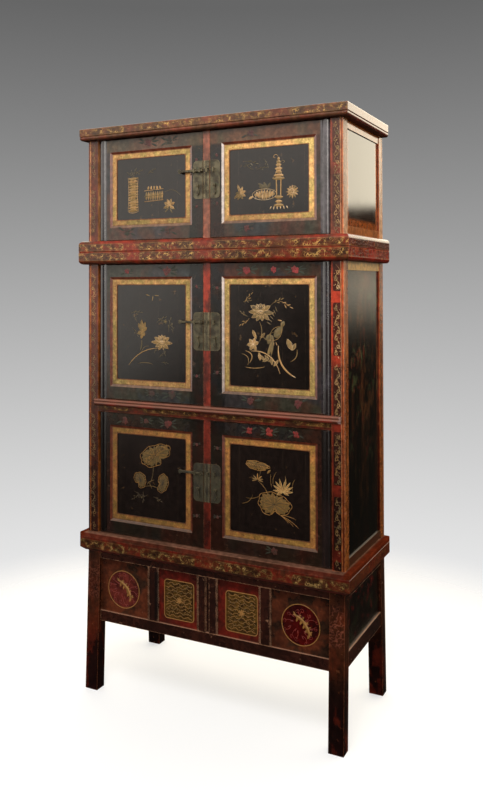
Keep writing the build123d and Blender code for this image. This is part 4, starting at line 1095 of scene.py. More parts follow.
# ---------------------------------------------------------------- Painting on the doors
# Each black field has its own flower or scholar's-table picture in gold and cream lacquer. The
# rails round it carry small red blossoms with green leaves, half rubbed away.
def outlined(drawing, u, v, turn, length, width, tone, edge, lift):
    """Petal with a body colour, a thin lighter line round it and a darker vein."""
    drawing.petal(u, v, turn, length, width * 0.86, tone, lift)
    angle = math.radians(turn)
    tip = (u + length * math.cos(angle), v + length * math.sin(angle))
    for side in (-1, 1):
        drawing.stroke(
            bent((u, v), tip, side * 0.46 * width / length, 7), 0.0011, edge, lift * 0.7, taper=0.6
        )
    heel = (u + 0.3 * length * math.cos(angle), v + 0.3 * length * math.sin(angle))
    crown_point = (u + 0.85 * length * math.cos(angle), v + 0.85 * length * math.sin(angle))
    drawing.stroke([heel, crown_point], 0.0012, tone - 0.26, lift * 0.9)


def peony(drawing, u, v, size, tone, squash=0.8):
    """Full flower seen a little from the side: spread petals below, a cup of rounder ones above."""
    for turn in (178, 210, 244, 286, 322, 358):
        length = size * (0.92 + 0.24 * luck.random())
        drop = abs(math.sin(math.radians(turn))) * (1 - squash)
        shown = tone - 0.04 + 0.10 * luck.random()
        outlined(drawing, u, v, turn, length * (1 - drop), size * 0.34, shown, 0.78, 0.0008)
    for turn, reach in ((152, 0.84), (28, 0.84), (120, 0.90), (60, 0.90), (90, 0.86)):
        start = (u + 0.05 * size * math.cos(math.radians(turn)), v + 0.08 * size)
        reach = reach * size * (1.0 if turn in (152, 28) else squash * 1.05)
        outlined(drawing, *start, turn, reach, size * 0.36, tone + 0.12 * luck.random(), 0.86, 0.0011)
    for turn in (48, 76, 104, 132):
        drawing.petal(u, v + 0.14 * size, turn, size * 0.50, size * 0.12, tone - 0.36, 0.0016)
    drawing.stroke(
        bent((u - 0.46 * size, v + 0.02 * size), (u + 0.46 * size, v + 0.02 * size), -0.18),
        0.0016,
        0.06,
        0.0013,
    )
    for step in range(5):
        drawing.dab(
            u - 0.16 * size + 0.08 * size * step,
            v + 0.10 * size,
            90,
            0.09 * size,
            0.05 * size,
            0.92,
            0.0018,
        )


def lotus(drawing, u, v, size, tone):
    """Lotus flower opening upwards, with narrow pointed petals."""
    petals = (
        (200, 0.5), (-20, 0.5), (174, 0.78), (6, 0.80), (150, 0.86), (30, 0.9), (128, 0.94),
        (52, 0.97), (106, 1.0), (76, 1.02),
    )
    for turn, share in petals:
        shown = tone + 0.16 * luck.random()
        outlined(drawing, u, v, turn, size * share, size * 0.15, shown, 0.94, 0.0009)


def lotus_leaf(drawing, u, v, width, height, tone, lean=0.0, notch=-95.0):
    """Broad wavy leaf with a notch: a light scalloped rim and dark veins from its heart."""

    def rim_point(angle, share=1.0):
        away = abs((math.degrees(angle) - notch + 180) % 360 - 180)
        reach = 1.0 + 0.05 * math.sin(3 * angle + 1.0) + 0.04 * math.sin(8 * angle)
        reach *= share * (0.45 + 0.55 * min(1.0, away / 22))
        across = width / 2 * reach * math.cos(angle)
        up = height / 2 * reach * math.sin(angle)
        tilt = math.radians(lean)
        along = across * math.cos(tilt) - up * math.sin(tilt)
        rise = across * math.sin(tilt) + up * math.cos(tilt)
        return u + along, v + rise

    for step in range(18):
        tip = rim_point(math.tau * step / 18)
        length = math.hypot(tip[0] - u, tip[1] - v)
        turn = math.degrees(math.atan2(tip[1] - v, tip[0] - u))
        drawing.petal(u, v, turn, length, length * 0.52, tone + 0.10 * (step % 2), 0.0006)
    for step in range(9):
        tip = rim_point(math.tau * (step + 0.4) / 9, 0.92)
        drawing.stroke(bent((u, v), tip, 0.07, 6), 0.0017, 0.04, 0.0007)
    for share, width_now, shown in ((1.0, 0.0016, tone + 0.34), (0.62, 0.0012, tone + 0.16)):
        rim = [rim_point(math.tau * step / 60, share) for step in range(61)]
        drawing.stroke(rim, width_now, shown, 0.0004, taper=1.0)


def sprig(drawing, u, v, turn, length, tone):
    """A few thin leaves on a short stem."""
    angle = math.radians(turn)
    end = (u + length * math.cos(angle), v + length * math.sin(angle))
    drawing.stroke(bent((u, v), end, 0.1, 6), 0.0013, tone)
    for share, lean in ((0.35, 35), (0.55, -38), (0.75, 30), (1.0, 0)):
        at = (u + (end[0] - u) * share, v + (end[1] - v) * share)
        drawing.petal(*at, turn + lean, length * 0.38, length * 0.09, tone)


def blossom(drawing, u, v, size, tone, petals=6, start=0.0):
    """Small open flower: a ring of petals round a light middle."""
    for step in range(petals):
        turn = start + 360 * step / petals
        drawing.petal(u, v, turn, size, size * 0.72, tone)
    drawing.dab(u, v, start, size * 0.45, size * 0.4, min(1.0, tone + 0.3), 0.0011)


class Page(Drawing):
    """A picture on the black field of one door: hand is -1 on the left and 1 on the right."""

    def __init__(self, tier, hand):
        super().__init__()
        self.middle_u = hand * field_x
        self.middle_v, self.half_v = fields[tier]

    def at(self, across, up):
        """A point of the field, from -1 to 1 each way from its middle."""
        return self.middle_u + across * field_half, self.middle_v + up * self.half_v


pictures = {(tier, hand): Page(tier, hand) for tier in ("lower", "middle", "top") for hand in (-1, 1)}

page = pictures["top", -1]
u, v = page.at(-0.52, -0.18)
for row in range(13):
    shown = 0.40 + 0.12 * (row % 2) + 0.08 * luck.random()
    page.dab(
        u + 0.0012 * math.sin(row),
        v - 0.056 + 0.0093 * row,
        3,
        0.047 - 0.002 * (row % 3),
        0.0125,
        shown,
        0.0012,
    )
for row in range(9):
    page.stroke(
        curl(u + 0.009 * (-1) ** row, v - 0.050 + 0.0125 * row, 0.0062, 60 * row, 1.0, 10),
        0.0014,
        0.76,
        0.0013,
    )
for side in (-1, 1):
    page.stroke(
        bent((u + side * 0.022, v - 0.060), (u + side * 0.021, v + 0.060), side * 0.03, 7),
        0.0018,
        0.74,
        0.0009,
    )
for level in (-0.060, -0.018, 0.022, 0.060):
    page.stroke(bent((u - 0.022, v + level), (u + 0.022, v + level), -0.12, 7), 0.0018, 0.74, 0.0012)
for lean, reach in ((150, 0.024), (115, 0.020), (70, 0.024), (30, 0.034)):
    sprig(page, u + 0.002, v + 0.064, lean, reach, 0.24)
sprig(page, *page.at(-0.10, 0.44), 30, 0.030, 0.20)
u, v = page.at(0.10, -0.14)
for step in range(8):
    page.dab(u - 0.032 + 0.0092 * step, v - 0.012, 88, 0.034, 0.0098, 0.40 + 0.12 * (step % 2), 0.0010)
for level, shown in ((0.008, 0.70), (-0.012, 0.30), (-0.030, 0.62)):
    page.stroke(
        [(u - 0.040, v + level - 0.002), (u + 0.038, v + level + 0.002)],
        0.0020,
        shown,
        0.0011,
        taper=1.0,
    )
for step in range(5):
    page.petal(
        u - 0.026 + 0.013 * step,
        v + 0.008,
        75 + 8 * step,
        0.015,
        0.0085,
        0.56 + 0.1 * (step % 2),
        0.0010,
    )
page.stroke(bent((u + 0.042, v - 0.002), page.at(0.86, -0.30), 0.20), 0.0016, 0.26)
u, v = page.at(0.54, -0.60)
for turn in (25, 70, 110, 150, 200, 330):
    outlined(page, u, v, turn, 0.024, 0.010, 0.50 + 0.16 * luck.random(), 0.78, 0.0010)
for turn in (185, 222, 300, 340):
    page.petal(u, v - 0.006, turn, 0.026, 0.006, 0.30, 0.0007)

page = pictures["top", 1]
u, v = page.at(0.26, 0.0)
for level, width in (
    (-0.082, 0.038), (-0.070, 0.026), (-0.056, 0.034), (0.004, 0.046), (0.014, 0.038),
    (0.026, 0.024), (0.036, 0.028), (0.048, 0.022), (0.058, 0.016), (0.068, 0.010),
):
    page.dab(u, v + level, 0, width, 0.0125, 0.44 + 0.20 * luck.random(), 0.0014)
for side in (-1, 1):
    page.stroke(
        [(u + side * 0.007, v - 0.052), (u + side * 0.008, v + 0.000)], 0.0042, 0.60, 0.0010, taper=1.0
    )
    page.stroke(
        bent((u + side * 0.021, v + 0.004), (u + side * 0.006, v + 0.060), side * 0.12, 8),
        0.0013,
        0.80,
        0.0015,
    )
    for step in range(3):
        page.petal(
            u + side * (0.006 + 0.010 * step),
            v - 0.084,
            -90 + side * 14 * step,
            0.012,
            0.004,
            0.80,
            0.0010,
        )
page.stroke(curl(u - 0.012, v + 0.074, 0.011, -10, 0.8, 10), 0.0018, 0.66)
page.stroke(curl(u + 0.016, v + 0.056, 0.008, 190, -0.8, 10), 0.0014, 0.44)
u, v = page.at(-0.10, -0.42)
for step in range(9):
    share = (step - 4) / 4
    height = 0.036 * math.sqrt(1.02 - share * share * 0.9)
    page.dab(u + 0.032 * share, v, 90 - 34 * share, height, 0.0105, 0.50 + 0.14 * (step % 2), 0.0009)
body = []
for step in range(25):
    turn = math.tau * step / 24
    body.append((u + 0.043 * math.cos(turn), v + 0.018 * math.sin(turn)))
page.stroke(body, 0.0013, 0.86, 0.0010, taper=1.0)
for step in range(6):
    low = (u - 0.030 + 0.012 * step, v - 0.015)
    page.stroke(bent(low, (low[0] + 0.006, v + 0.015), 0.10, 5), 0.0012, 0.90, 0.0013)
page.petal(u - 0.040, v - 0.004, 205, 0.020, 0.009, 0.72, 0.0009)
for turn, reach in ((150, 0.040), (165, 0.034), (120, 0.028), (60, 0.024)):
    page.petal(u + 0.010, v + 0.018, turn, reach, 0.012, 0.10 + 0.08 * luck.random(), 0.0008)
u, v = page.at(0.60, -0.38)
for turn in range(0, 360, 30):
    page.petal(u, v, turn, 0.023, 0.0072, 0.44 + 0.16 * (turn % 60 > 0), 0.0010)
page.stroke(curl(u, v, 0.021, 30, 1.0, 20), 0.0013, 0.80, 0.0012)
page.stroke(curl(u, v, 0.012, 200, -1.0, 14), 0.0013, 0.88, 0.0013)
u, v = page.at(-0.72, -0.34)
for turn, reach, shown in (
    (110, 0.030, 0.50), (70, 0.022, 0.62), (20, 0.020, 0.64), (330, 0.022, 0.50),
    (215, 0.028, 0.34), (245, 0.024, 0.28), (290, 0.022, 0.30), (180, 0.018, 0.24),
):
    outlined(page, u, v, turn, reach, 0.009, shown, shown + 0.20, 0.0009)
for start, turn, reach in (
    ((-0.62, 0.62), -12, 0.040), ((-0.46, 0.56), 200, 0.022), ((-0.30, 0.34), 10, 0.030),
    ((-0.12, 0.66), -60, 0.026), ((-0.38, 0.36), 150, 0.020),
):
    sprig(page, *page.at(*start), turn, reach, 0.22)

page = pictures["middle", -1]
u, v = page.at(0.32, -0.20)
peony(page, u, v, 0.038, 0.44, 0.70)
stem = bent((u - 0.016, v - 0.020), page.at(-0.66, -0.70), -0.12)
page.stroke(stem, 0.0030, 0.54)
page.stroke(bent(stem[4], page.at(-0.06, -0.28), 0.2, 6), 0.0016, 0.34)
page.stroke(bent(page.at(-0.38, -0.66), page.at(0.06, -0.66), 0.08), 0.0018, 0.32)
for across, up, turn in ((0.10, -0.44, 60), (0.24, -0.52, 40), (0.44, -0.48, 110), (0.30, -0.62, 0)):
    sprig(page, *page.at(across, up), turn, 0.022, 0.20)
u, v = page.at(-0.25, 0.02)
for turn, reach, shown in (
    (95, 0.042, 0.36), (70, 0.036, 0.40), (120, 0.034, 0.34), (40, 0.024, 0.44), (200, 0.022, 0.36),
    (260, 0.026, 0.46), (300, 0.018, 0.40),
):
    outlined(page, u, v, turn, reach, 0.013, shown, shown + 0.16, 0.0010)
page.stroke(bent((u - 0.003, v - 0.030), (u - 0.008, v - 0.066), 0.05, 6), 0.0044, 0.26)
for across, up, turn, reach in (
    (-0.60, 0.40, 5, 0.038), (-0.56, 0.10, -50, 0.032), (-0.40, 0.22, 120, 0.024),
    (0.16, 0.20, 30, 0.036), (0.42, 0.24, 160, 0.024), (0.52, 0.02, 80, 0.040),
    (0.66, -0.02, 100, 0.030),
):
    sprig(page, *page.at(across, up), turn, reach, 0.19)
for across, up, turn in ((-0.16, 0.80, -14), (0.04, 0.66, 80), (0.10, 0.78, -4)):
    page.petal(*page.at(across, up), turn, 0.020, 0.0040, 0.42)
blossom(page, *page.at(0.42, 0.24), 0.009, 0.18, 5)

page = pictures["middle", 1]
u, v = page.at(-0.21, 0.46)
peony(page, u, v, 0.045, 0.34, 0.62)
for across, up, turn, length, tone in (
    (-0.62, 0.64, 50, 0.034, 0.50),
    (-0.66, 0.66, 10, 0.024, 0.40),
    (-0.54, 0.38, 150, 0.026, 0.34),
    (-0.50, 0.34, 215, 0.034, 0.56),
    (0.06, 0.60, 28, 0.038, 0.40),
    (0.24, 0.68, -24, 0.042, 0.54),
):
    sprig(page, *page.at(across, up), turn, length, tone)
for step in range(6):
    start = page.at(0.06 + 0.03 * step, 0.22 + 0.05 * step)
    page.petal(*start, 150 - 8 * step, 0.020, 0.0026, 0.32)
page.stroke(bent((u - 0.004, v - 0.030), page.at(-0.26, -0.14), 0.14), 0.0020, 0.40)
outlined(page, *page.at(-0.32, -0.06), 115, 0.032, 0.011, 0.50, 0.78, 0.0009)
outlined(page, *page.at(-0.20, -0.04), 50, 0.022, 0.008, 0.30, 0.60, 0.0009)
page.stroke(bent(page.at(-0.24, -0.02), page.at(-0.08, -0.08), 0.2, 6), 0.0022, 0.30)
u, v = page.at(-0.40, -0.17)
for turn in (20, 75, 130, 185, 240, 300):
    outlined(page, u, v, turn, 0.022, 0.0125, 0.48 + 0.14 * luck.random(), 0.86, 0.0010)
page.dab(u, v, 20, 0.009, 0.008, 0.90, 0.0016)
u, v = page.at(0.12, 0.0)
for turn, length, width, tone in (
    (44, 0.046, 0.026, 0.27), (200, 0.032, 0.026, 0.24), (230, 0.034, 0.022, 0.30),
    (252, 0.080, 0.012, 0.38), (262, 0.068, 0.010, 0.30), (10, 0.026, 0.018, 0.24),
):
    page.petal(u, v, turn, length, width, tone, 0.0014)
page.stroke(bent((u + 0.028, v + 0.042), (u - 0.026, v - 0.012), 0.36, 8), 0.0016, 0.56, 0.0016)
page.stroke(bent((u + 0.030, v + 0.034), (u - 0.006, v - 0.024), -0.32, 8), 0.0016, 0.50, 0.0016)
page.stroke(bent((u + 0.006, v + 0.014), (u - 0.022, v - 0.020), -0.24, 8), 0.0014, 0.40, 0.0018)
page.dab(u + 0.032, v + 0.040, 60, 0.022, 0.016, 0.30, 0.0016)
page.petal(u + 0.030, v + 0.050, 170, 0.016, 0.0044, 0.70, 0.0016)
for side in (-1, 1):
    page.petal(u + 0.004 + 0.003 * side, v - 0.018, -80 + 14 * side, 0.014, 0.0026, 0.60, 0.0014)
bough = bent(page.at(0.24, -0.18), page.at(0.66, -0.78), -0.18)
page.stroke(bough, 0.0062, 0.62, 0.0004)
page.stroke([(spot_u + 0.0012, spot_v) for spot_u, spot_v in bough], 0.0013, 0.92, 0.0008)
page.stroke(bent(page.at(0.54, -0.48), page.at(0.70, -0.24), -0.2), 0.0026, 0.48)
outlined(page, *page.at(0.58, -0.26), 115, 0.040, 0.018, 0.46, 0.84, 0.0009)
outlined(page, *page.at(0.58, -0.26), 60, 0.026, 0.012, 0.40, 0.80, 0.0009)
low_bough = bent(page.at(-0.46, -0.30), page.at(0.28, -0.72), 0.20)
page.stroke(low_bough, 0.0034, 0.70)
page.stroke(bent(page.at(-0.60, -0.62), page.at(-0.10, -0.60), -0.06), 0.0020, 0.62)
page.stroke(bent(page.at(-0.60, -0.30), page.at(-0.50, -0.54), 0.4, 8), 0.0034, 0.56)
page.stroke(bent(page.at(-0.70, -0.36), page.at(-0.54, -0.58), 0.3, 8), 0.0020, 0.46)
for across, up, turn, shown in (
    (-0.22, -0.48, 100, 0.62), (-0.16, -0.50, 30, 0.40), (-0.10, -0.46, 150, 0.48),
    (0.08, -0.56, 95, 0.52), (0.12, -0.58, 50, 0.56), (0.02, -0.50, 130, 0.40),
):
    outlined(page, *page.at(across, up), turn, 0.027, 0.010, shown - 0.08, 0.76, 0.0009)

page = pictures["lower", -1]
u, v = page.at(0.12, 0.54)
lotus_leaf(page, u, v, 0.128, 0.070, 0.24, 24.0, -60.0)
for step in range(26):
    at = (
        u - 0.046 + 0.0035 * step + 0.010 * luck.random(),
        v - 0.026 + 0.0024 * step + 0.022 * (luck.random() - 0.4),
    )
    page.stroke(
        curl(*at, 0.0050, 360 * luck.random(), 0.8, 8), 0.0012, 0.52 + 0.14 * luck.random(), 0.0012
    )
page.stroke(bent((u - 0.008, v - 0.032), page.at(-0.02, -0.16), 0.06), 0.0018, 0.22)
for centre_u, centre_v, width, height, lean in (
    (-0.32, -0.10, 0.046, 0.056, 30.0), (0.34, -0.12, 0.042, 0.066, -16.0)
):
    at = page.at(centre_u, centre_v)
    lotus_leaf(page, *at, width, height, 0.22, lean, 200.0)
    page.dab(*at, 90 + lean, 0.026, 0.012, 0.0, 0.0016)
for start, end in (
    ((-0.12, -0.20), (0.10, -0.06)), ((-0.20, -0.26), (0.22, -0.26)), ((-0.10, -0.12), (0.02, -0.28))
):
    page.stroke(bent(page.at(*start), page.at(*end), 0.10, 6), 0.0018, 0.36)
for across, up, turn in (
    (-0.5, -0.40, -30), (-0.36, -0.44, 220), (-0.10, -0.44, 200), (0.06, -0.48, -20), (-0.24, -0.38, 270)
):
    sprig(page, *page.at(across, up), turn, 0.030, 0.12)

page = pictures["lower", 1]
u, v = page.at(-0.30, 0.56)
lotus_leaf(page, u, v, 0.084, 0.028, 0.34, -6.0, -20.0)
for step in range(9):
    page.stroke(
        curl(u - 0.036 + 0.009 * step, v + 0.002 - 0.001 * step, 0.0058, 180, -0.6, 8),
        0.0013,
        0.74,
        0.0012,
    )
page.petal(*page.at(0.04, 0.50), 225, 0.020, 0.008, 0.42, 0.0009)
u, v = page.at(-0.30, 0.24)
for turn in (10, 40, 90, 140, 170, 195, 345):
    page.petal(u, v, turn, 0.022, 0.0052, 0.36 + 0.24 * luck.random(), 0.0009)
page.stroke(bent((u + 0.002, v - 0.004), page.at(-0.02, -0.12), 0.10), 0.0022, 0.40)
page.stroke(bent(page.at(-0.22, 0.48), (u + 0.004, v + 0.006), 0.06, 6), 0.0016, 0.30)
lotus(page, *page.at(0.34, 0.02), 0.044, 0.56)
lotus_leaf(page, *page.at(0.12, -0.28), 0.116, 0.076, 0.33, -6.0, -80.0)
for start, end, bow in (
    ((-0.70, -0.34), (-0.42, -0.12), -0.16), ((-0.60, -0.20), (-0.24, -0.12), -0.1),
    ((0.10, 0.16), (0.18, 0.46), 0.12), ((0.06, 0.10), (0.04, 0.40), 0.05),
    ((0.58, 0.06), (0.64, 0.34), 0.12), ((0.44, 0.20), (0.40, 0.40), 0.05),
):
    page.stroke(bent(page.at(*start), page.at(*end), bow), 0.0016, 0.42)
for end in ((0.48, -0.66), (0.60, -0.72), (0.72, -0.74), (0.66, -0.56)):
    page.stroke(bent(page.at(0.26, -0.50), page.at(*end), 0.06), 0.0015, 0.62)

field_face = -0.1965
for (tier, hand), drawing in pictures.items():
    side = "left" if hand < 0 else "right"
    place = [(drawing, on_front(field_face))]
    lay_paint(f"{tier}_{side}_picture", f"{tier}_{side}_door", gold_paint, place)


def rose(drawing, u, v, size, tone):
    """Rubbed flower of a few broad dabs, with leaves on both sides of it."""
    for turn in (200, 255, 310, 15, 75, 135):
        lean = turn + 30 * luck.random()
        width = size * (0.5 + 0.2 * luck.random())
        drawing.petal(
            u, v, lean, size * (0.5 + 0.3 * luck.random()), width, tone + 0.12 * luck.random(), 0.0005
        )
    for turn in (-24, 8, 30, 152, 176, 204):
        reach = size * (0.9 + 0.5 * luck.random())
        start = (
            u + 0.5 * size * math.cos(math.radians(turn)), v + 0.3 * size * math.sin(math.radians(turn))
        )
        if luck.random() < 0.7:
            drawing.petal(*start, turn, reach, reach * 0.30, 0.04 + 0.16 * luck.random(), 0.0004)


rail_flower_levels = {"lower": (0.580, 0.960), "middle": (1.059, 1.484), "top": (1.622, 1.932)}
door_face = -0.2025
for tier, levels in rail_flower_levels.items():
    for hand, side in ((-1, "left"), (1, "right")):
        flowers = Drawing()
        for level in levels:
            strength = 0.44 if level == levels[1] and tier != "top" else 0.26
            strength += 0.06 * hand
            kept = 0.45 if level == levels[0] else 0.75
            for spot in (0.135, 0.215, 0.305):
                if luck.random() < kept:
                    u = hand * (spot + 0.03 * luck.random())
                    size = 0.017 + 0.010 * luck.random()
                    rose(
                        flowers, u, level + 0.004 * luck.random(), size, strength + 0.22 * luck.random()
                    )
        for step in range(3):
            v = levels[0] + 0.07 + step * (levels[1] - levels[0] - 0.14) / 2
            rose(flowers, hand * 0.039, v + 0.02 * luck.random(), 0.010, 0.34 + 0.12 * luck.random())
        place = [(flowers, on_front(door_face))]
        lay_paint(
            f"{tier}_{side}_rail_flowers", f"{tier}_{side}_door", colour_paint, place
        )


# ---------------------------------------------------------------- Locks, bolts and pulls
# Sheet brass, cut and filed, with a cast bolt and pendant pulls, gone dull grey-green and brown
# in the hollows where polish never reaches.
brass_finish, tree, shader = new_finish("Old brass")
place = place_of(tree)
patina = spread(tree, mottle(tree, place, 38.0, 5.0), 0.38, 0.64)
green = spread(tree, mottle(tree, place, 90.0, 3.0), 0.50, 0.68)
colour = layered(tree, patina, shade(108, 99, 78), shade(62, 54, 43))
colour = layered(tree, times(tree, green, 0.5), colour, shade(78, 84, 66))
worn = spread(tree, edge_lean(tree, 0.0012), 0.99, 0.82)
colour = layered(tree, worn, colour, shade(160, 142, 102))
high = along_axes(tree, place)["Z"]
# Painted shade: the brass darkens towards the floor.
colour = layered(tree, 1.0, colour, spread(tree, high, 0.45, 1.65, 0.42, 0.88), "MULTIPLY")
tree.links.new(colour, shader.inputs["Base Color"])
shader.inputs["Metallic"].default_value = 0.55
tree.links.new(spread(tree, patina, 0.0, 1.0, 0.34, 0.56), shader.inputs["Roughness"])
bump = add(
    tree,
    "ShaderNodeBump",
    {"Height": mottle(tree, place, 140.0, 3.0), "Distance": 0.0003, "Strength": 0.5},
)
tree.links.new(bump.outputs[0], shader.inputs["Normal"])
for tier in ("lower", "middle", "top"):
    coat_node(f"{tier}_bolt", brass_finish)
    coat_node(f"{tier}_centre_plate", brass_finish)
    for hand in ("left", "right"):
        coat_node(f"{tier}_{hand}_lock_plate", brass_finish)
        coat_node(f"{tier}_{hand}_pull", brass_finish)


# ---------------------------------------------------------------- Top chest
# A smaller case on its own base frame, with the same posts and doors. Its sides are polished
# brown lacquer with an orange rim, and the cornice closes it above.
chest_base_finish, tree, shader = scrolled_moulding(
    "Chest base lacquer", 1.5715, 0.0120, red_ground, bright_gold, shade(170, 84, 52), side=(92, 18, 10)
)
coat_node("chest_base_frame", chest_base_finish)
chest_post_finish = post_lacquer("Chest post lacquer", shade(204, 146, 96))
coat_node("chest_posts", chest_post_finish)
chest_gold = Drawing()
post_scroll(chest_gold, post_x, 1.602, 1.950, 1, 0.8, False)
post_scroll(chest_gold, -post_x, 1.602, 1.950, -1, 0.62, True)
lay_paint(
    "chest_post_gold", "top_chest", gold_paint, [(chest_gold, on_front(post_face))]
)
chest_rail_finish, tree, shader = new_finish("Chest rail lacquer")
age = aged(
    tree, shade(164, 96, 48), shade(90, 48, 26), shade(200, 140, 86), Blotch=0.3, Wear=0.4, Smooth=0.05
)
coat(tree, shader, age, 0.0001, 0.2, shine=0.7)
coat_node("chest_side_rails", chest_rail_finish)
chest_side_finish, tree, shader = new_finish("Chest side lacquer")
place = place_of(tree)
parts = along_axes(tree, place)
from_middle = reckon(tree, "ABSOLUTE", reckon(tree, "SUBTRACT", parts["Y"], 0.0035))
rim = spread(
    tree, reckon(tree, "MAXIMUM", from_middle, reckon(tree, "SUBTRACT", 1.79, parts["Z"])), 0.135, 0.15
)
colour = layered(tree, rim, shade(42, 26, 18), shade(150, 78, 34))
age = aged(tree, colour, shade(40, 22, 14), shade(160, 110, 70), Blotch=0.3, Wear=0.3, Smooth=0.01)
coat(tree, shader, age, 0.0001, 0.1, shine=0.8)
coat_node("chest_side_panels", chest_side_finish)
for board in ("chest_floor", "chest_back_panel", "cornice_board"):
    coat_node(board, board_finish)
cornice_finish, tree, shader = scrolled_moulding(
    "Cornice lacquer",
    1.985,
    0.0105,
    (shade(110, 56, 40), shade(86, 56, 38)),
    bright_gold,
    shade(146, 110, 78),
    field=0.55,
)
tree.links.new(
    spread(tree, run_along(tree, place_of(tree))[2], 0.0, 1.0, 0.0, 0.5), shader.inputs["Coat Weight"]
)
shader.inputs["Coat Roughness"].default_value = 0.12
coat_node("cornice_frame", cornice_finish)


# ---------------------------------------------------------------- Studio and camera
# A pale floor under a soft high key light, with a bright room above eye level, a dark one below
# it and an upright strip light by the camera, which is what polished lacquer mirrors.
floor_mesh = bmesh.new()
bmesh.ops.create_circle(floor_mesh, cap_ends=True, radius=3.2, segments=96)
floor_data = bpy.data.meshes.new("studio_floor")
floor_mesh.to_mesh(floor_data)
floor_mesh.free()
floor = bpy.data.objects.new("studio_floor", floor_data)
bpy.context.scene.collection.objects.link(floor)
floor_finish, tree, shader = new_finish("Studio floor")
place = place_of(tree)
away = add(tree, "ShaderNodeVectorMath", {0: place}, operation="LENGTH").outputs["Value"]
tree.nodes.remove(shader)
white = add(tree, "ShaderNodeBsdfDiffuse", {"Color": shade(248, 248, 250)})
bright = add(tree, "ShaderNodeEmission", {"Color": shade(255, 255, 255), "Strength": 1.0})
eye = add(tree, "ShaderNodeLightPath").outputs["Is Camera Ray"]
lift = add(
    tree, "ShaderNodeMixShader", {0: times(tree, eye, 0.5), 1: white.outputs[0], 2: bright.outputs[0]}
)
clear = add(tree, "ShaderNodeBsdfTransparent")
fade = add(
    tree,
    "ShaderNodeMixShader",
    {0: spread(tree, away, 0.9, 1.9), 1: lift.outputs[0], 2: clear.outputs[0]},
)
surface = next(made for made in tree.nodes if made.type == "OUTPUT_MATERIAL")
tree.links.new(fade.outputs[0], surface.inputs["Surface"])
floor_data.materials.append(floor_finish)
floor.visible_diffuse = False
floor.visible_glossy = False

world = bpy.data.worlds.new("Studio")
bpy.context.scene.world = world
world.use_nodes = True
tree = world.node_tree
tree.nodes.clear()
way = add(tree, "ShaderNodeTexCoord").outputs["Generated"]
parts = along_axes(tree, way)
falloff = {"Value": parts["Z"], "From Min": -0.44, "From Max": 0.32, "To Min": 1.0, "To Max": 0.4}
falloff = add(tree, "ShaderNodeMapRange", falloff).outputs[0]
backdrop = reckon(tree, "POWER", falloff, 2.2)
seen = add(tree, "ShaderNodeBackground", {"Color": backdrop, "Strength": 1.0})
horizon = spread(tree, parts["X"], -0.40, -0.56, 0.075, -0.12)
sky = spread(tree, reckon(tree, "SUBTRACT", parts["Z"], horizon), -0.02, 0.02)
sky = times(tree, sky, spread(tree, parts["Z"], 0.35, 0.60, 1.6, 0.64))
behind = spread(tree, parts["Z"], 0.086, 0.100, 0.0, 2.9)
low_wall = spread(tree, parts["Z"], 0.030, 0.014)
low_wall = times(tree, low_wall, spread(tree, parts["Z"], -0.065, 0.0, 0.0, 1.05))
behind = reckon(tree, "ADD", behind, low_wall)
rear = spread(tree, parts["Y"], 0.2, 0.5)
glow = times(tree, sky, reckon(tree, "SUBTRACT", 1.0, rear))
glow = reckon(tree, "MULTIPLY_ADD", behind, rear, reckon(tree, "ADD", glow, 0.02))
strip = times(tree, spread(tree, parts["X"], 0.34, 0.40), spread(tree, parts["X"], 0.62, 0.56))
strip = times(tree, strip, spread(tree, parts["Y"], -0.3, -0.5))
strip = times(tree, strip, spread(tree, parts["Z"], -0.22, 0.06, 0.0, 5.0))
strip = times(tree, strip, spread(tree, parts["Z"], 0.50, 0.40))
glow = reckon(tree, "ADD", strip, glow)
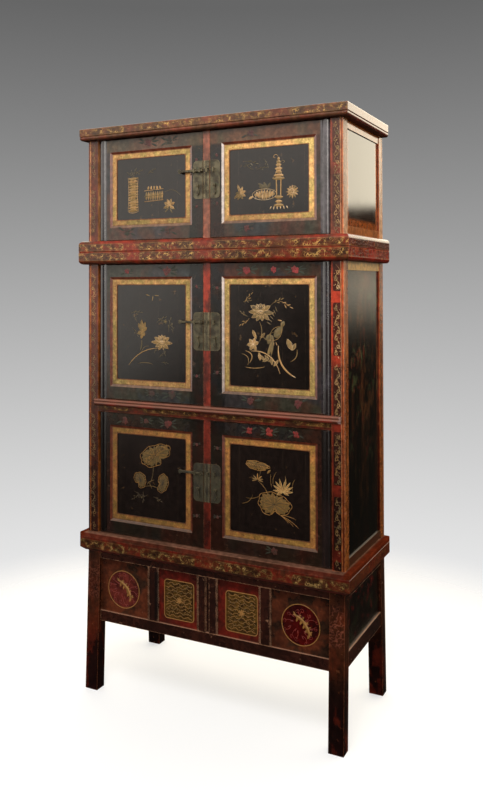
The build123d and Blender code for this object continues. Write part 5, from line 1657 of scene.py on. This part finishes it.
window = times(tree, spread(tree, parts["X"], 0.84, 0.87), spread(tree, parts["Y"], 0.02, -0.05))
window = times(tree, window, spread(tree, parts["Z"], -0.22, -0.10, 0.0, 7.0))
window = times(tree, window, spread(tree, parts["Z"], 0.50, 0.40))
mirrored = add(tree, "ShaderNodeLightPath").outputs["Is Glossy Ray"]
glow = reckon(tree, "MULTIPLY_ADD", window, mirrored, glow)
warmth = layered(tree, rear, shade(255, 250, 240), shade(255, 243, 216))
lit = add(tree, "ShaderNodeBackground", {"Color": warmth, "Strength": glow})
eye = add(tree, "ShaderNodeLightPath").outputs["Is Camera Ray"]
both = add(tree, "ShaderNodeMixShader", {0: eye, 1: lit.outputs[0], 2: seen.outputs[0]})
add(tree, "ShaderNodeOutputWorld", {"Surface": both.outputs[0]})


def lamp(name, spot, aim, size, power):
    """Soft square lamp that looks at a point; the camera doesn't see it."""
    data = bpy.data.lights.new(name, "AREA")
    data.size = size
    data.energy = power
    made = bpy.data.objects.new(name, data)
    made.location = spot
    made.rotation_euler = (Vector(aim) - Vector(spot)).to_track_quat("-Z", "Y").to_euler()
    made.visible_camera = False
    bpy.context.scene.collection.objects.link(made)
    return made


lamp("high_key", (0.5, -2.0, 3.4), (0.0, -0.2, 1.6), 1.2, 58.0)

camera_data = bpy.data.cameras.new("camera")
camera_data.sensor_fit = "VERTICAL"
camera_data.sensor_height = 36.0
camera_data.lens = 36.9
camera_data.shift_x = 0.0186
camera_data.shift_y = -0.158
camera = bpy.data.objects.new("camera", camera_data)
bpy.context.scene.collection.objects.link(camera)
yaw = math.radians(27.14)
pitch = math.radians(0.78)
roll = math.radians(-0.13)
ahead = Vector((-math.sin(yaw) * math.cos(pitch), math.cos(yaw) * math.cos(pitch), math.sin(pitch)))
aim = ahead.to_track_quat("-Z", "Y").to_matrix().to_4x4()
camera_spot = (1.3155, -2.6223, 1.4380)
camera.matrix_world = Matrix.Translation(camera_spot) @ aim @ Matrix.Rotation(roll, 4, "Z")
bpy.context.scene.camera = camera
bpy.context.scene.view_settings.view_transform = "Standard"
